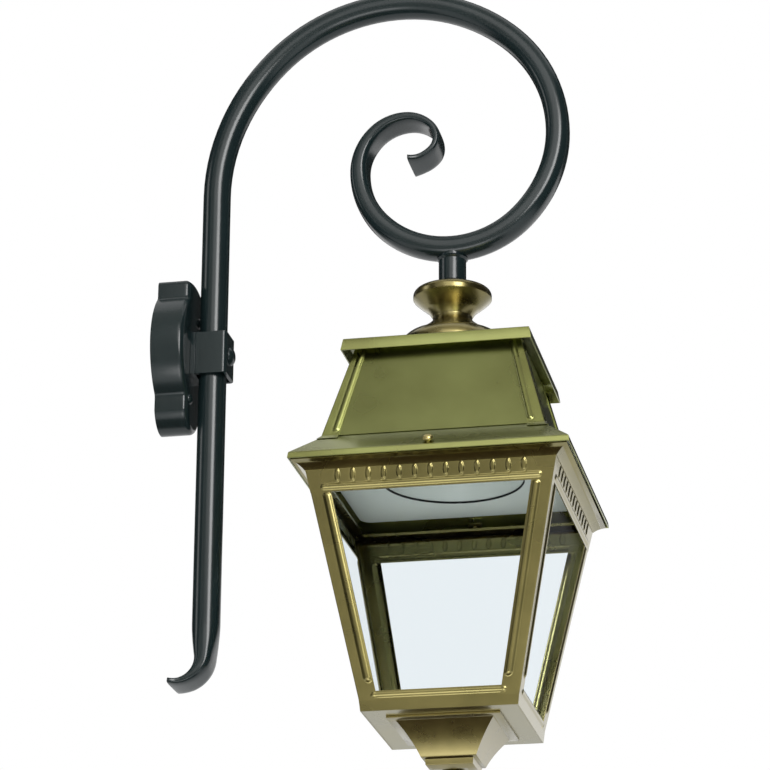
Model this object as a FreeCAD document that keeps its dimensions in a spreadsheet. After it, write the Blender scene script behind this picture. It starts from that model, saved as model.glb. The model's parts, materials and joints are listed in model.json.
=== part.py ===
import FreeCAD, Part
import Sketcher

import math
import os
import re

# A lantern on a scrolled wall arm. The wall is the plane X = 0, X runs away from it, Z runs up.
# The origin is the centre of the wall plate's back, level with the clamp that holds the arm.
# Heights of the lantern's own pieces are counted from its eave, the lower edge of the roof rim.

# Driving dimensions in millimetres, turns in degrees
SIZES = {
    # Wall plate, a cast shell with an ornamental outline
    "plate_depth": 38,
    "plate_wall": 4,
    "plate_edge_round": 6.5,
    "plate_tab_half": 28,
    "plate_bulge_half": 55,
    "plate_top": 92,
    "plate_top_shoulder": 82,
    "plate_top_corner": 7,
    "plate_waist_round": 8,
    "plate_bulge_top": 66,
    "plate_bulge_foot": -52,
    "plate_foot_shoulder": -70,
    "plate_foot": -91,
    "cable_hole_radius": 8.75,
    "cable_hole_side": -27.5,
    "cable_hole_height": 22,
    # Mounting strap behind the plate, with the pillars for the two cover screws
    "strap_thickness": 3,
    "strap_half_width": 23,
    "strap_top": 59,
    "strap_foot": -63,
    "wall_hole_radius": 2.75,
    "wall_hole_spacing": 70,
    "strap_cable_radius": 10,
    "pillar_radius": 5,
    "cover_screw_side": 17,
    "cover_screw_top": 50,
    "cover_screw_foot": -55,
    "cover_screw_radius": 2.5,
    "cover_head_radius": 6.25,
    "cover_head_height": 3,
    "cover_screw_grip": 12,
    # Clamp that holds the arm against the plate
    "clamp_height": 51,
    "clamp_thickness": 4,
    "clamp_bend": 5,
    "clamp_base_depth": 6,
    "bolt_radius": 4,
    "bolt_head_radius": 10.75,
    "bolt_head_height": 5,
    "bolt_nut_radius": 7.5,
    "bolt_nut_height": 6.5,
    "bolt_spare": 3,
    # Arm, one tube with a fishtail at its foot and a scroll at its head
    "tube_radius": 16,
    "tube_wall": 2,
    "first_bend_radius": 240,
    "bend_start": 200.5,
    "bend_turn": 45,
    "tail_start": 349,
    "tail_bend_radius": 36,
    "tail_turn": 95,
    # Hanger between the arm and the lantern
    "hanger_radius": 15.7,
    "hanger_drop": 34.9,
    "hanger_thread_radius": 14.2,
    "hanger_thread_length": 6.5,
    "hanger_bore": 6,
    "weld_radius": 2.2,
    "nipple_radius": 5,
    "nipple_wall": 1.2,
    "nipple_rise": 15,
    "nipple_nut_radius": 8,
    "nipple_nut_height": 6,
    # Crown of turned pieces
    "lid_radius": 44.7,
    "lid_height": 14.5,
    "bowl_radius": 44.2,
    "bowl_height": 22.3,
    "neck_radius": 22.4,
    "gallery_radius": 61,
    "gallery_height": 42.7,
    "crown_wall": 2,
    # Cap over the chimney
    "sheet": 1.5,
    "deck_height": 168,
    "deck_half": 63,
    "cap_rise": 15,
    "cap_overhang": 14,
    "cap_skirt": 14,
    "cap_flare": 2.5,
    # Chimney of four panels and four corner strips
    "thin_sheet": 1.2,
    "chimney_head_drop": 12.2,
    "chimney_head_half": 90,
    "chimney_setback": 30.6,
    "chimney_lift": 1.95,
    "chimney_flange_head": 14,
    "chimney_flange_foot": 19,
    "chimney_bead_radius": 2.8,
    "chimney_bead_drop": 12.8,
    "chimney_bead_rise": 8,
    "toe_reach": 4.4,
    # Roof skirt with its rim
    "roof_half": 153.6,
    "rim_height": 7,
    "roof_slope": 39.3,
    "upstand_height": 12,
    # Thumb screws through the roof
    "thumb_screw_inset": 6.6,
    "thumb_head_radius": 4.6,
    "thumb_head_height": 6.5,
    "thumb_neck_height": 2.2,
    "thumb_screw_radius": 2.5,
    "thumb_screw_length": 12,
    "lug_depth": 7.5,
    "lug_width": 16,
    "lug_reach": 6,
    # Cove, frieze, posts and bottom rail of the glazed cage
    "cove_gap": 0.6,
    "cove_inset": 3.1,
    "cove_flange_width": 22.5,
    "cove_height": 9,
    "frieze_inset": 16.6,
    "frieze_height": 24.1,
    "frieze_wall": 1.4,
    "frieze_bead_radius": 3,
    "frieze_bead_rise": 5.6,
    "frieze_bead_inset": 14.6,
    "reed_width": 5,
    "reed_height": 13,
    "reed_rise": 17,
    "reed_relief": 0.9,
    "reed_inset": 15.6,
    "post_inset": 2.1,
    "post_head_drop": 1.4,
    "post_foot_inset": 2.9,
    "post_foot_rise": 1.8,
    "post_flange_head": 20,
    "post_flange_foot": 17.5,
    "post_bead_radius": 3.8,
    "post_bead_drop": 7.3,
    "post_bead_rise": 13.2,
    "cage_depth": 266.5,
    "rail_height": 21.3,
    "rail_foot_half": 85.2,
    "rail_lean": 2.5,
    "rail_bead_radius": 3.4,
    "rail_blob_radius": 4.25,
    "rail_bead_inset": 15.2,
    "rail_bead_drop": 4,
    "pane_thickness": 3,
    # Pendant under the tray
    "pendant_half": 62,
    "pendant_height": 50,
    "finial_radius": 12.4,
    "finial_height": 14,
    "stud_radius": 3,
    "stud_nut_radius": 5.5,
    "stud_nut_height": 4,
    # Reflector, lampholder and lamp
    "reflector_height": 16,
    "reflector_inset": 22,
    "reflector_corner": 14,
    "dome_radius": 79.5,
    "dome_height": 68,
    "dome_rim": 6,
    "holder_radius": 21,
    "holder_drop": 18,
    "holder_length": 73,
    "holder_neck_radius": 17,
    "holder_neck_height": 22,
    "socket_radius": 13.6,
    "socket_depth": 26,
    "lamp_radius": 22.5,
    "lamp_length": 75,
    "lamp_base_radius": 13.2,
    "lamp_base_length": 27,
    # Clearances
    "fit": 0.3,
    "running_fit": 0.08,
    "overrun": 5,
}

# Each bend of the scroll turns by the same angle; its radius is a share of the first radius
BEND_RADIUS_SHARES = (1, 0.843, 0.827, 0.709, 0.614, 0.475, 0.466, 0.417,
                      0.265, 0.22, 0.173, 0.104, 0.0875, 0.153)
# Half thickness of the tube at the start of each bend and at the tip, as shares of its radius
ARM_HALF_SHARES = (1, 0.975, 0.95, 0.9, 0.845, 0.845, 0.845, 0.785,
                   0.655, 0.5, 0.39, 0.31, 0.28, 0.255, 0.24)
TAIL_HALF_SHARES = (1, 0.93, 0.76, 0.52, 0.33, 0.235)
TIP_FLARE_SHARE = 1.11
# Bends before the arm's lowest point, where the lantern hangs, and bends that are hollow
LANTERN_BEND_COUNT = 6
HOLLOW_BEND_COUNT = 9
SAME_PLACE = 1e-6
BEND_STEP_COUNT = 3
REED_COUNT = 13
# A turned dome ends in a small flat, as broad as this share of its radius
DOME_FLAT_SHARE = 0.15
BULGE_SHARE = 0.8

doc = FreeCAD.newDocument("WallLantern")
sheet = doc.addObject("Spreadsheet::Sheet", "sizes")


def store(alias, value, row):
    sheet.set(f"A{row}", alias)
    sheet.set(f"B{row}", str(value))
    sheet.setAlias(f"B{row}", alias)


for row, (alias, value) in enumerate(SIZES.items(), start=1):
    store(alias, value, row)
doc.recompute()


class Size:
    """Reads a size of the sheet by its name."""

    def __getattr__(self, alias):
        return float(sheet.get(alias))


size = Size()


# Path of the arm's centreline

def outward(turn):
    """Direction to the outer side of the bend, square to the way the arm runs there."""
    angle = math.radians(turn)
    return FreeCAD.Vector(-math.cos(angle), 0, math.sin(angle))


def bend_starts(tube_x):
    """Points where the bends of the scroll start, and its tip."""
    point = FreeCAD.Vector(tube_x, 0, size.bend_start)
    starts = [point]
    for number, share in enumerate(BEND_RADIUS_SHARES):
        radius = share * size.first_bend_radius
        turn = number * size.bend_turn
        centre = point - outward(turn) * radius
        point = centre + outward(turn + size.bend_turn) * radius
        starts.append(point)
    return starts


tube_x = size.plate_depth + size.clamp_base_depth + size.tube_radius
starts = bend_starts(tube_x)
low_point = starts[LANTERN_BEND_COUNT]
low_half = ARM_HALF_SHARES[LANTERN_BEND_COUNT] * size.tube_radius
crown_height = size.gallery_height + size.bowl_height + size.lid_height
hanger_foot = low_point.z - low_half - size.hanger_drop


def roof_height(half):
    """Height of the roof's upper face at a half width, counted from the eave."""
    return size.rim_height + (size.roof_half - half) * math.tan(math.radians(size.roof_slope))


def roof_underside(half):
    return roof_height(half) - size.sheet / math.cos(math.radians(size.roof_slope))


# Sizes that follow from the driving dimensions, kept in the same sheet
chimney_foot_half = size.roof_half - size.chimney_setback
chimney_foot = roof_height(chimney_foot_half) + size.chimney_lift
chimney_head = size.deck_height - size.chimney_head_drop
cap_top = size.deck_height - size.cap_rise
cap_top_half = size.chimney_head_half + size.cap_overhang
holder_top = size.deck_height - size.holder_drop
thumb_screw_half = size.roof_half - size.thumb_screw_inset
reflector_half = size.roof_half - size.reflector_inset
cove_half = size.roof_half - size.cove_inset
frieze_top = -size.cove_gap - size.cove_height
frieze_top_half = size.roof_half - size.frieze_inset
frieze_foot = frieze_top - size.frieze_height
rail_top = size.rail_height - size.cage_depth
rail_top_half = size.rail_foot_half + size.rail_lean
cage_lean = (frieze_top_half - rail_top_half) / (frieze_top - rail_top)
frieze_lean = cage_lean * size.frieze_height
frieze_foot_half = frieze_top_half - frieze_lean
DERIVED = {
    "tube_x": tube_x,
    "lantern_x": low_point.x,
    "arm_underside": low_point.z - low_half,
    "hanger_foot": hanger_foot,
    "eave_z": hanger_foot - size.deck_height - crown_height,
    "clamp_front": tube_x + size.tube_radius + size.fit + size.clamp_thickness,
    "cap_top": cap_top,
    "cap_top_half": cap_top_half,
    "cap_rim": cap_top - size.cap_skirt,
    "cap_rim_half": cap_top_half + size.cap_flare,
    "chimney_head": chimney_head,
    "chimney_foot": chimney_foot,
    "chimney_foot_half": chimney_foot_half,
    "chimney_bead_top": chimney_head - size.chimney_bead_drop,
    "chimney_bead_foot": chimney_foot + size.chimney_bead_rise,
    "toe_half": chimney_foot_half + size.toe_reach,
    "inside_half": chimney_foot_half - 2 * size.thin_sheet - size.fit,
    "thumb_screw_half": thumb_screw_half,
    "thumb_screw_height": roof_height(thumb_screw_half),
    "holder_top": holder_top,
    "holder_foot": holder_top - size.holder_length,
    "reflector_half": reflector_half,
    "reflector_edge": roof_underside(reflector_half) - size.reflector_height - size.fit,
    "cove_top": -size.cove_gap,
    "cove_half": cove_half,
    "cove_flange_half": cove_half - size.cove_flange_width,
    "frieze_top": frieze_top,
    "frieze_top_half": frieze_top_half,
    "frieze_lean": frieze_lean,
    "frieze_foot": frieze_foot,
    "frieze_foot_half": frieze_foot_half,
    "frieze_bead_height": frieze_foot + size.frieze_bead_rise,
    "frieze_bead_half": frieze_foot_half - size.frieze_bead_inset,
    "rail_foot": -size.cage_depth,
    "rail_top": rail_top,
    "rail_top_half": rail_top_half,
    "rail_bead_half": size.rail_foot_half - size.rail_bead_inset,
    "post_head": frieze_top - size.post_head_drop,
    "post_head_half": frieze_top_half - size.post_inset,
    "post_foot": size.post_foot_rise - size.cage_depth,
    "post_foot_half": size.rail_foot_half - size.post_foot_inset,
    "post_bead_top": frieze_foot - size.post_bead_drop,
    "post_bead_foot": rail_top + size.post_bead_rise,
}
for row, (alias, value) in enumerate(DERIVED.items(), start=len(SIZES) + 2):
    store(alias, value, row)
doc.recompute()

NAMES = set(SIZES) | set(DERIVED)
AXIS = FreeCAD.Vector(0, 0, 1)
LANTERN_BASE = {"Placement.Base.x": "lantern_x", "Placement.Base.z": "eave_z"}

nodes = {}


def bound(text):
    """An expression with each size name pointed at the sheet."""
    return re.sub(r"[a-z_]+", lambda word: f"sizes.{word[0]}" if word[0] in NAMES else word[0], text)


def bind(item, expressions):
    for prop, text in expressions.items():
        item.setExpression(prop, bound(text))


def value_of(text):
    """The number that an expression of the sheet's sizes gives."""
    result = sheet.evalExpression(bound(text))
    return float(getattr(result, "Value", result))


def keep(name, item):
    """Take an object as a piece of the lantern, under its own name."""
    item.Label = name
    nodes[name] = item
    return item


def keep_shape(name, shape):
    """Take a computed shape, made round the lantern's axis and eave, as a piece."""
    item = doc.addObject("Part::Feature", name)
    item.Shape = shape
    bind(item, LANTERN_BASE)
    return keep(name, item)


def keep_fixed(name, shape):
    """Take a computed shape, made in the wall's frame, as a piece."""
    item = doc.addObject("Part::Feature", name)
    item.Shape = shape
    item.Placement = FreeCAD.Placement()
    return keep(name, item)


# Sketches and turned pieces

def origin_plane(body, role):
    return next(item for item in body.Origin.OriginFeatures if item.Role == role)


def pin_point(sketch, geometry, end, place):
    """Hold a point of the sketch at the place that two expressions give."""
    for axis, kind, text in ((-2, "DistanceX", place[0]), (-1, "DistanceY", place[1])):
        if text == "0":
            sketch.addConstraint(Sketcher.Constraint("PointOnObject", geometry, end, axis))
        else:
            number = sketch.addConstraint(
                Sketcher.Constraint(kind, -1, 1, geometry, end, value_of(text)))
            sketch.setExpression(f"Constraints[{number}]", bound(text))


def near(first, second):
    return (first - second).Length < SAME_PLACE


def closed_outline(sketch, outline):
    """Lines and arcs through the outline's places. A step is an end place, or a pair of a
    place on the way and an end place, which is an arc."""
    ends = [step[-1] if isinstance(step[0], tuple) else step for step in outline]
    spots = [FreeCAD.Vector(value_of(x), value_of(y), 0) for x, y in ends]
    joints = []
    for number, step in enumerate(outline):
        start, end = spots[number - 1], spots[number]
        if isinstance(step[0], tuple):
            way = FreeCAD.Vector(value_of(step[0][0]), value_of(step[0][1]), 0)
            edge = sketch.addGeometry(Part.Arc(start, way, end))
            mark = sketch.addGeometry(Part.Point(way), True)
            pin_point(sketch, mark, 1, step[0])
            sketch.addConstraint(Sketcher.Constraint("PointOnObject", mark, 1, edge))
        else:
            edge = sketch.addGeometry(Part.LineSegment(start, end))
        first = 1 if near(sketch.getPoint(edge, 1), start) else 2
        joints.append((edge, first, 3 - first))
    for number, (edge, first, last) in enumerate(joints):
        previous, _, previous_end = joints[number - 1]
        sketch.addConstraint(Sketcher.Constraint("Coincident", previous, previous_end, edge, first))
        pin_point(sketch, edge, last, ends[number])


def new_sketch(body, role, name):
    sketch = body.newObject("Sketcher::SketchObject", name)
    sketch.AttachmentSupport = (origin_plane(body, role), [""])
    sketch.MapMode = "FlatFace"
    return sketch


def turned_body(name, outline):
    """A piece turned about its own upright axis. The outline is in radius and height."""
    body = doc.addObject("PartDesign::Body", name)
    sketch = new_sketch(body, "XZ_Plane", f"{name}_profile")
    closed_outline(sketch, outline)
    turn = body.newObject("PartDesign::Revolution", f"{name}_turn")
    turn.Profile = sketch
    turn.ReferenceAxis = (sketch, ["V_Axis"])
    turn.Angle = 360
    sketch.Visibility = False
    return body


def turned(name, outline, foot="0"):
    """A turned piece on the lantern's axis, its foot at a height above the eave."""
    body = turned_body(name, outline)
    bind(body, {"Placement.Base.x": "lantern_x", "Placement.Base.z": f"eave_z + {foot}"})
    return keep(name, body)


def tube_outline(inner, outer, low, high):
    return [(inner, low), (outer, low), (outer, high), (inner, high)]


def turned_about_axis(shape, quarter):
    """A copy of a shape, turned by quarter turns about the lantern's axis."""
    copy = shape.copy()
    copy.rotate(FreeCAD.Vector(), AXIS, 90 * quarter)
    return copy


# Square-plan pieces

def polygon_face(points):
    return Part.Face(Part.makePolygon(points + points[:1]))


def profile_wire(outline):
    """A closed wire in the plane of radius and height, of lines and of arcs through a way."""
    ends = [step[-1] if isinstance(step[0], tuple) else step for step in outline]
    edges = []
    for number, step in enumerate(outline):
        start = FreeCAD.Vector(ends[number - 1][0], 0, ends[number - 1][1])
        end = FreeCAD.Vector(ends[number][0], 0, ends[number][1])
        if isinstance(step[0], tuple):
            way = FreeCAD.Vector(step[0][0], 0, step[0][1])
            edges.append(Part.Arc(start, way, end).toShape())
        else:
            edges.append(Part.makeLine(start, end))
    return Part.Wire(edges)


def square_turned(outline):
    """A moulding carried round a square with mitred corners. The outline is in half width
    and height."""
    face = Part.Face(profile_wire(outline))
    reach = face.BoundBox.XMax + size.overrun
    side = face.copy()
    side.translate(FreeCAD.Vector(0, -reach, 0))
    side = side.extrude(FreeCAD.Vector(0, 2 * reach, 0))
    low, high = face.BoundBox.ZMin - size.overrun, face.BoundBox.ZMax + size.overrun
    mitre = polygon_face([FreeCAD.Vector(0, 0, low), FreeCAD.Vector(reach, -reach, low),
                          FreeCAD.Vector(reach, reach, low)])
    side = side.common(mitre.extrude(FreeCAD.Vector(0, 0, high - low)))
    sides = [turned_about_axis(side, quarter) for quarter in range(4)]
    return sides[0].multiFuse(sides[1:]).removeSplitter()


def square_frustum(low, low_half, high, high_half):
    rings = []
    for height, half in ((low, low_half), (high, high_half)):
        corners = [FreeCAD.Vector(x * half, y * half, height)
                   for x, y in ((1, 1), (-1, 1), (-1, -1), (1, -1))]
        rings.append(Part.makePolygon(corners + corners[:1]))
    return Part.makeLoft(rings, True, True)


def bar_between(start, end, radius, blob_radius):
    """A round bar that ends in a blob at each end, turned in one piece."""
    run = end - start
    flat = DOME_FLAT_SHARE * blob_radius
    dome = math.sqrt(blob_radius ** 2 - flat ** 2)
    neck = math.sqrt(blob_radius ** 2 - radius ** 2)
    bulge = blob_radius if blob_radius > radius else BULGE_SHARE * radius
    along = 0 if blob_radius > radius else -math.sqrt(radius ** 2 - bulge ** 2)
    outline = [(0, -dome), (flat, -dome), ((bulge, along), (radius, neck))]
    outline += [(radius, run.Length - neck),
                ((bulge, run.Length - along), (flat, run.Length + dome)), (0, run.Length + dome)]
    bar = revolved(outline)
    bar.Placement = FreeCAD.Placement(start, FreeCAD.Rotation(AXIS, run))
    return bar


def angle_section(height, half, flange, wall):
    """The outline of a corner strip, an equal angle whose heel is the corner."""
    inner = half - wall
    edge = half - flange
    places = ((half, half), (edge, half), (edge, inner), (inner, inner), (inner, edge), (half, edge))
    points = [FreeCAD.Vector(x, y, height) for x, y in places]
    return Part.makePolygon(points + points[:1])


def beaded_corner(sections, wall, beads):
    """A corner strip through its sections, each of height, half width and flange, with a
    bead along the free edge of each face. Each end of a bead is a height, a half width of
    the corner there and a flange."""
    wires = [angle_section(height, half, flange, wall) for height, half, flange in sections]
    strip = Part.makeLoft(wires, True, True)
    (low, low_half, low_flange), (high, high_half, high_flange), radius = beads
    cutter = square_frustum(sections[0][0], sections[0][1] - wall,
                            sections[-1][0], sections[-1][1] - wall)
    for swap in (False, True):
        ends = []
        for height, half, flange in ((low, low_half, low_flange), (high, high_half, high_flange)):
            side = half - flange + radius
            ends.append(FreeCAD.Vector(half, side, height) if swap
                        else FreeCAD.Vector(side, half, height))
        strip = strip.fuse(bar_between(ends[0], ends[1], radius, radius).cut(cutter))
    return strip.removeSplitter()


def slant(low, low_value, high, high_value, height):
    """The value at a height on the straight line between two heights."""
    return low_value + (high_value - low_value) * (height - low) / (high - low)


def revolved(outline):
    """A solid turned about the Z axis from an outline of radius and height."""
    return Part.Face(profile_wire(outline)).revolve(FreeCAD.Vector(), AXIS, 360)


def along_x(shape, x, y, z):
    """A shape made upright, laid along X and moved to its place."""
    shape.rotate(FreeCAD.Vector(), FreeCAD.Vector(0, 1, 0), 90)
    shape.translate(FreeCAD.Vector(x, y, z))
    return shape


def drill(radius, x, y, z, depth):
    """A hole's cylinder along X, longer than the depth at both ends."""
    length = depth + 2 * size.overrun
    return along_x(Part.makeCylinder(radius, length), x - size.overrun, y, z)


# Flat sheets that lean with a side of the lantern

SIDES = ("front", "right", "back", "left")
CORNERS = ("back_right", "back_left", "front_left", "front_right")


def slanted_sheet(name, quarter, low, high, halves, narrower, thickness):
    """A trapezoid sheet between two heights, its outer face at two half widths, its edges
    narrower by so much on each side."""
    half_low, half_high = halves
    piece = doc.addObject("Part::Wedge", name)
    bind(piece, {
        "Xmin": f"-({half_low} - ({narrower}))",
        "Xmax": f"{half_low} - ({narrower})",
        "X2min": f"-({half_high} - ({narrower}))",
        "X2max": f"{half_high} - ({narrower})",
        "Ymin": "0",
        "Ymax": f"{high} - ({low})",
        "Zmin": f"{half_low} - {thickness}",
        "Zmax": half_low,
        "Z2min": f"{half_high} - {thickness}",
        "Z2max": half_high,
    })
    upright = FreeCAD.Rotation(FreeCAD.Vector(1, 0, 0), 90)
    round_axis = FreeCAD.Rotation(AXIS, 90 * quarter)
    piece.Placement = FreeCAD.Placement(FreeCAD.Vector(), round_axis.multiply(upright))
    bind(piece, {"Placement.Base.x": "lantern_x", "Placement.Base.z": f"eave_z + {low}"})
    return keep(name, piece)


# Wall plate

def plate_wire():
    """The ornamental outline of the plate, in the plane of the wall."""
    tab, corner = size.plate_tab_half, size.plate_top_corner
    shoulder = size.plate_top_shoulder
    bulge_middle = (size.plate_bulge_top + size.plate_bulge_foot) / 2
    knuckle = corner * math.sqrt(0.5)

    def spot(y, z):
        return FreeCAD.Vector(0, y, z)

    edges = [Part.Arc(spot(corner - tab, shoulder + corner), spot(0, size.plate_top),
                      spot(tab - corner, shoulder + corner)).toShape()]
    edges.append(Part.Arc(spot(tab, size.plate_foot_shoulder), spot(0, size.plate_foot),
                          spot(-tab, size.plate_foot_shoulder)).toShape())
    for side in (1, -1):
        edges += [
            Part.Arc(spot(side * (tab - corner), shoulder + corner),
                     spot(side * (tab - corner + knuckle), shoulder + knuckle),
                     spot(side * tab, shoulder)).toShape(),
            Part.makeLine(spot(side * tab, shoulder), spot(side * tab, size.plate_bulge_top)),
            Part.Arc(spot(side * tab, size.plate_bulge_top),
                     spot(side * size.plate_bulge_half, bulge_middle),
                     spot(side * tab, size.plate_bulge_foot)).toShape(),
            Part.makeLine(spot(side * tab, size.plate_bulge_foot),
                          spot(side * tab, size.plate_foot_shoulder)),
        ]
    return Part.Wire(Part.__sortEdges__(edges))


COVER_SCREWS = ((size.cover_screw_side, size.cover_screw_top),
                (-size.cover_screw_side, size.cover_screw_foot))


def lies_at_waist(box):
    """Whether an edge is one of the four hollow corners between the tabs and the bulge."""
    beside = abs(max(box.YMax, -box.YMin) - size.plate_tab_half) < size.fit
    level = min(abs(box.ZMin - size.plate_bulge_top), abs(box.ZMin - size.plate_bulge_foot))
    return box.XLength > size.plate_wall and box.ZLength < size.fit and beside and level < size.fit


def wall_plate():
    """A cast shell, open to the wall, with a rounded front edge."""
    shell = Part.Face(plate_wire()).extrude(FreeCAD.Vector(size.plate_depth, 0, 0))
    waist = [edge for edge in shell.Edges if lies_at_waist(edge.BoundBox)]
    shell = shell.makeFillet(size.plate_waist_round, waist)
    back = next(face for face in shell.Faces if face.BoundBox.XMax < size.fit)
    inner = back.OuterWire.makeOffset2D(-size.plate_wall)
    front = [edge for edge in shell.Edges if edge.BoundBox.XMin > size.plate_depth - size.fit]
    shell = shell.makeFillet(size.plate_edge_round, front)
    shell = shell.cut(Part.Face(inner).extrude(
        FreeCAD.Vector(size.plate_depth - size.plate_wall, 0, 0)))
    x = size.plate_depth - size.plate_wall
    shell = shell.cut(drill(size.bolt_radius + size.fit, x, 0, 0, size.plate_wall))
    shell = shell.cut(drill(size.cable_hole_radius, x, size.cable_hole_side,
                            size.cable_hole_height, size.plate_wall))
    for y, z in COVER_SCREWS:
        shell = shell.cut(drill(size.cover_screw_radius + size.fit, x, y, z, size.plate_wall))
    return shell


keep_fixed("wall_plate", wall_plate())


def round_hole(sketch, place, radius):
    """A circle in a sketch, its centre and radius held by expressions."""
    centre = FreeCAD.Vector(value_of(place[0]), value_of(place[1]), 0)
    hole = sketch.addGeometry(Part.Circle(centre, FreeCAD.Vector(0, 0, 1), value_of(radius)))
    pin_point(sketch, hole, 3, place)
    number = sketch.addConstraint(Sketcher.Constraint("Radius", hole, value_of(radius)))
    sketch.setExpression(f"Constraints[{number}]", bound(radius))


def padded(name, role, outline, holes, depth, midplane=False):
    """A plate of one outline with round holes, as thick as the depth."""
    body = doc.addObject("PartDesign::Body", name)
    sketch = new_sketch(body, role, f"{name}_outline")
    closed_outline(sketch, outline)
    for place, radius in holes:
        round_hole(sketch, place, radius)
    pad = body.newObject("PartDesign::Pad", f"{name}_pad")
    pad.Profile = sketch
    pad.Midplane = midplane
    bind(pad, {"Length": depth})
    sketch.Visibility = False
    return body


mounting_strap = padded(
    "mounting_strap", "YZ_Plane",
    [("strap_half_width", "strap_foot"), ("strap_half_width", "strap_top"),
     ("-strap_half_width", "strap_top"), ("-strap_half_width", "strap_foot")],
    [(("0", "wall_hole_spacing / 2"), "wall_hole_radius"),
     (("0", "-wall_hole_spacing / 2"), "wall_hole_radius"),
     (("0", "0"), "strap_cable_radius")],
    "strap_thickness")
keep("mounting_strap", mounting_strap)


def pillars():
    """Two round pillars between the strap and the plate, tapped for the cover screws."""
    length = size.plate_depth - size.plate_wall - size.strap_thickness
    tapped = size.cover_screw_grip - size.plate_wall + size.cover_head_height
    posts = []
    for y, z in COVER_SCREWS:
        post = along_x(Part.makeCylinder(size.pillar_radius, length), size.strap_thickness, y, z)
        bore = along_x(Part.makeCylinder(size.cover_screw_radius + size.fit, tapped),
                       size.strap_thickness + length - tapped, y, z)
        posts.append(post.cut(bore))
    return Part.makeCompound(posts)


def cover_screws():
    """Two screws with domed heads, through the plate's front into the pillars."""
    head, rise = size.cover_head_radius, size.cover_head_height
    outline = [(0, -size.cover_screw_grip), (size.cover_screw_radius, -size.cover_screw_grip),
               (size.cover_screw_radius, 0), (head, 0),
               ((0.75 * head, 0.75 * rise), (DOME_FLAT_SHARE * head, rise)), (0, rise)]
    return Part.makeCompound([along_x(revolved(outline), size.plate_depth, y, z)
                              for y, z in COVER_SCREWS])


keep_fixed("strap_pillars", pillars())
keep_fixed("cover_screws", cover_screws())


# Clamp

def pierced(name, body, radius, x, depth):
    """A piece with a round hole for the clamp bolt, along X."""
    hole = doc.addObject("Part::Cylinder", f"{name}_hole")
    hole.Placement = FreeCAD.Placement(
        FreeCAD.Vector(), FreeCAD.Rotation(FreeCAD.Vector(0, 1, 0), 90))
    bind(hole, {"Radius": radius, "Height": f"{depth} + 2 * overrun",
                "Placement.Base.x": f"{x} - overrun"})
    cut = doc.addObject("Part::Cut", name)
    cut.Base = body
    cut.Tool = hole
    return keep(name, cut)


clamp_half = "(tube_radius + fit + clamp_thickness)"
base_block = doc.addObject("Part::Box", "clamp_base_block")
bind(base_block, {
    "Length": "clamp_base_depth", "Width": f"2 * {clamp_half}", "Height": "clamp_height",
    "Placement.Base.x": "plate_depth", "Placement.Base.y": f"-{clamp_half}",
    "Placement.Base.z": "-clamp_height / 2",
})
pierced("clamp_base", base_block, "bolt_radius + fit", "plate_depth", "clamp_base_depth")

leg_back = "plate_depth + clamp_base_depth"
bend_out = "clamp_bend * 0.293"
inner_bend = "(clamp_bend - clamp_thickness)"
strap_body = padded(
    "clamp_strap_bend", "XY_Plane",
    [(leg_back, clamp_half),
     (f"clamp_front - clamp_bend", clamp_half),
     ((f"clamp_front - {bend_out}", f"{clamp_half} - {bend_out}"),
      ("clamp_front", f"{clamp_half} - clamp_bend")),
     ("clamp_front", f"clamp_bend - {clamp_half}"),
     ((f"clamp_front - {bend_out}", f"{bend_out} - {clamp_half}"),
      ("clamp_front - clamp_bend", f"-{clamp_half}")),
     (leg_back, f"-{clamp_half}"),
     (leg_back, "-(tube_radius + fit)"),
     ("clamp_front - clamp_thickness", "-(tube_radius + fit)"),
     ("clamp_front - clamp_thickness", "tube_radius + fit"),
     (leg_back, "tube_radius + fit")],
    [], "clamp_height", midplane=True)
pierced("clamp_strap", strap_body, "bolt_radius + fit", "clamp_front - clamp_thickness",
        "clamp_thickness")

nut_face = "(plate_depth - plate_wall)"
bolt_length = f"(clamp_front - {nut_face} + bolt_nut_height + bolt_spare)"
clamp_bolt = turned_body("clamp_bolt", [
    ("0", f"-{bolt_length}"),
    ("bolt_radius", f"-{bolt_length}"),
    ("bolt_radius", "0"),
    ("bolt_head_radius", "0"),
    ("bolt_head_radius", "0.15 * bolt_head_height"),
    (("0.75 * bolt_head_radius", "0.76 * bolt_head_height"),
     (f"{DOME_FLAT_SHARE} * bolt_head_radius", "bolt_head_height")),
    ("0", "bolt_head_height"),
])
clamp_bolt.Placement = FreeCAD.Placement(
    FreeCAD.Vector(), FreeCAD.Rotation(FreeCAD.Vector(0, 1, 0), 90))
bind(clamp_bolt, {"Placement.Base.x": "clamp_front"})
keep("clamp_bolt", clamp_bolt)

nut_block = doc.addObject("Part::Prism", "clamp_nut_block")
nut_block.Polygon = 6
nut_block.Placement = FreeCAD.Placement(
    FreeCAD.Vector(), FreeCAD.Rotation(FreeCAD.Vector(0, 1, 0), 90))
bind(nut_block, {"Circumradius": "bolt_nut_radius", "Height": "bolt_nut_height",
                 "Placement.Base.x": f"{nut_face} - bolt_nut_height"})
pierced("clamp_nut", nut_block, "bolt_radius + fit", f"{nut_face} - bolt_nut_height",
        "bolt_nut_height")


# Arm

def pressed_half_width(half):
    """Half width across the arm of a round tube pressed flat to a half thickness: its
    outline keeps the length of the round one."""
    return half + math.pi / 2 * (size.tube_radius - half)


def tube_section(centre, side, half, half_width):
    """A closed oval outline across the tube, a circle where the tube isn't pressed, that
    starts at the tube's side whatever the section, so that neighbours join without a twist."""
    across = FreeCAD.Vector(0, half_width, 0)
    oval = Part.Ellipse(centre + across, centre + side * half, centre)
    return Part.Wire([oval.toShape()])


def share_at(shares, place):
    """The share at a place along a row of shares, straight between neighbours."""
    number = min(int(place), len(shares) - 2)
    return shares[number] + (shares[number + 1] - shares[number]) * (place - number)


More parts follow.
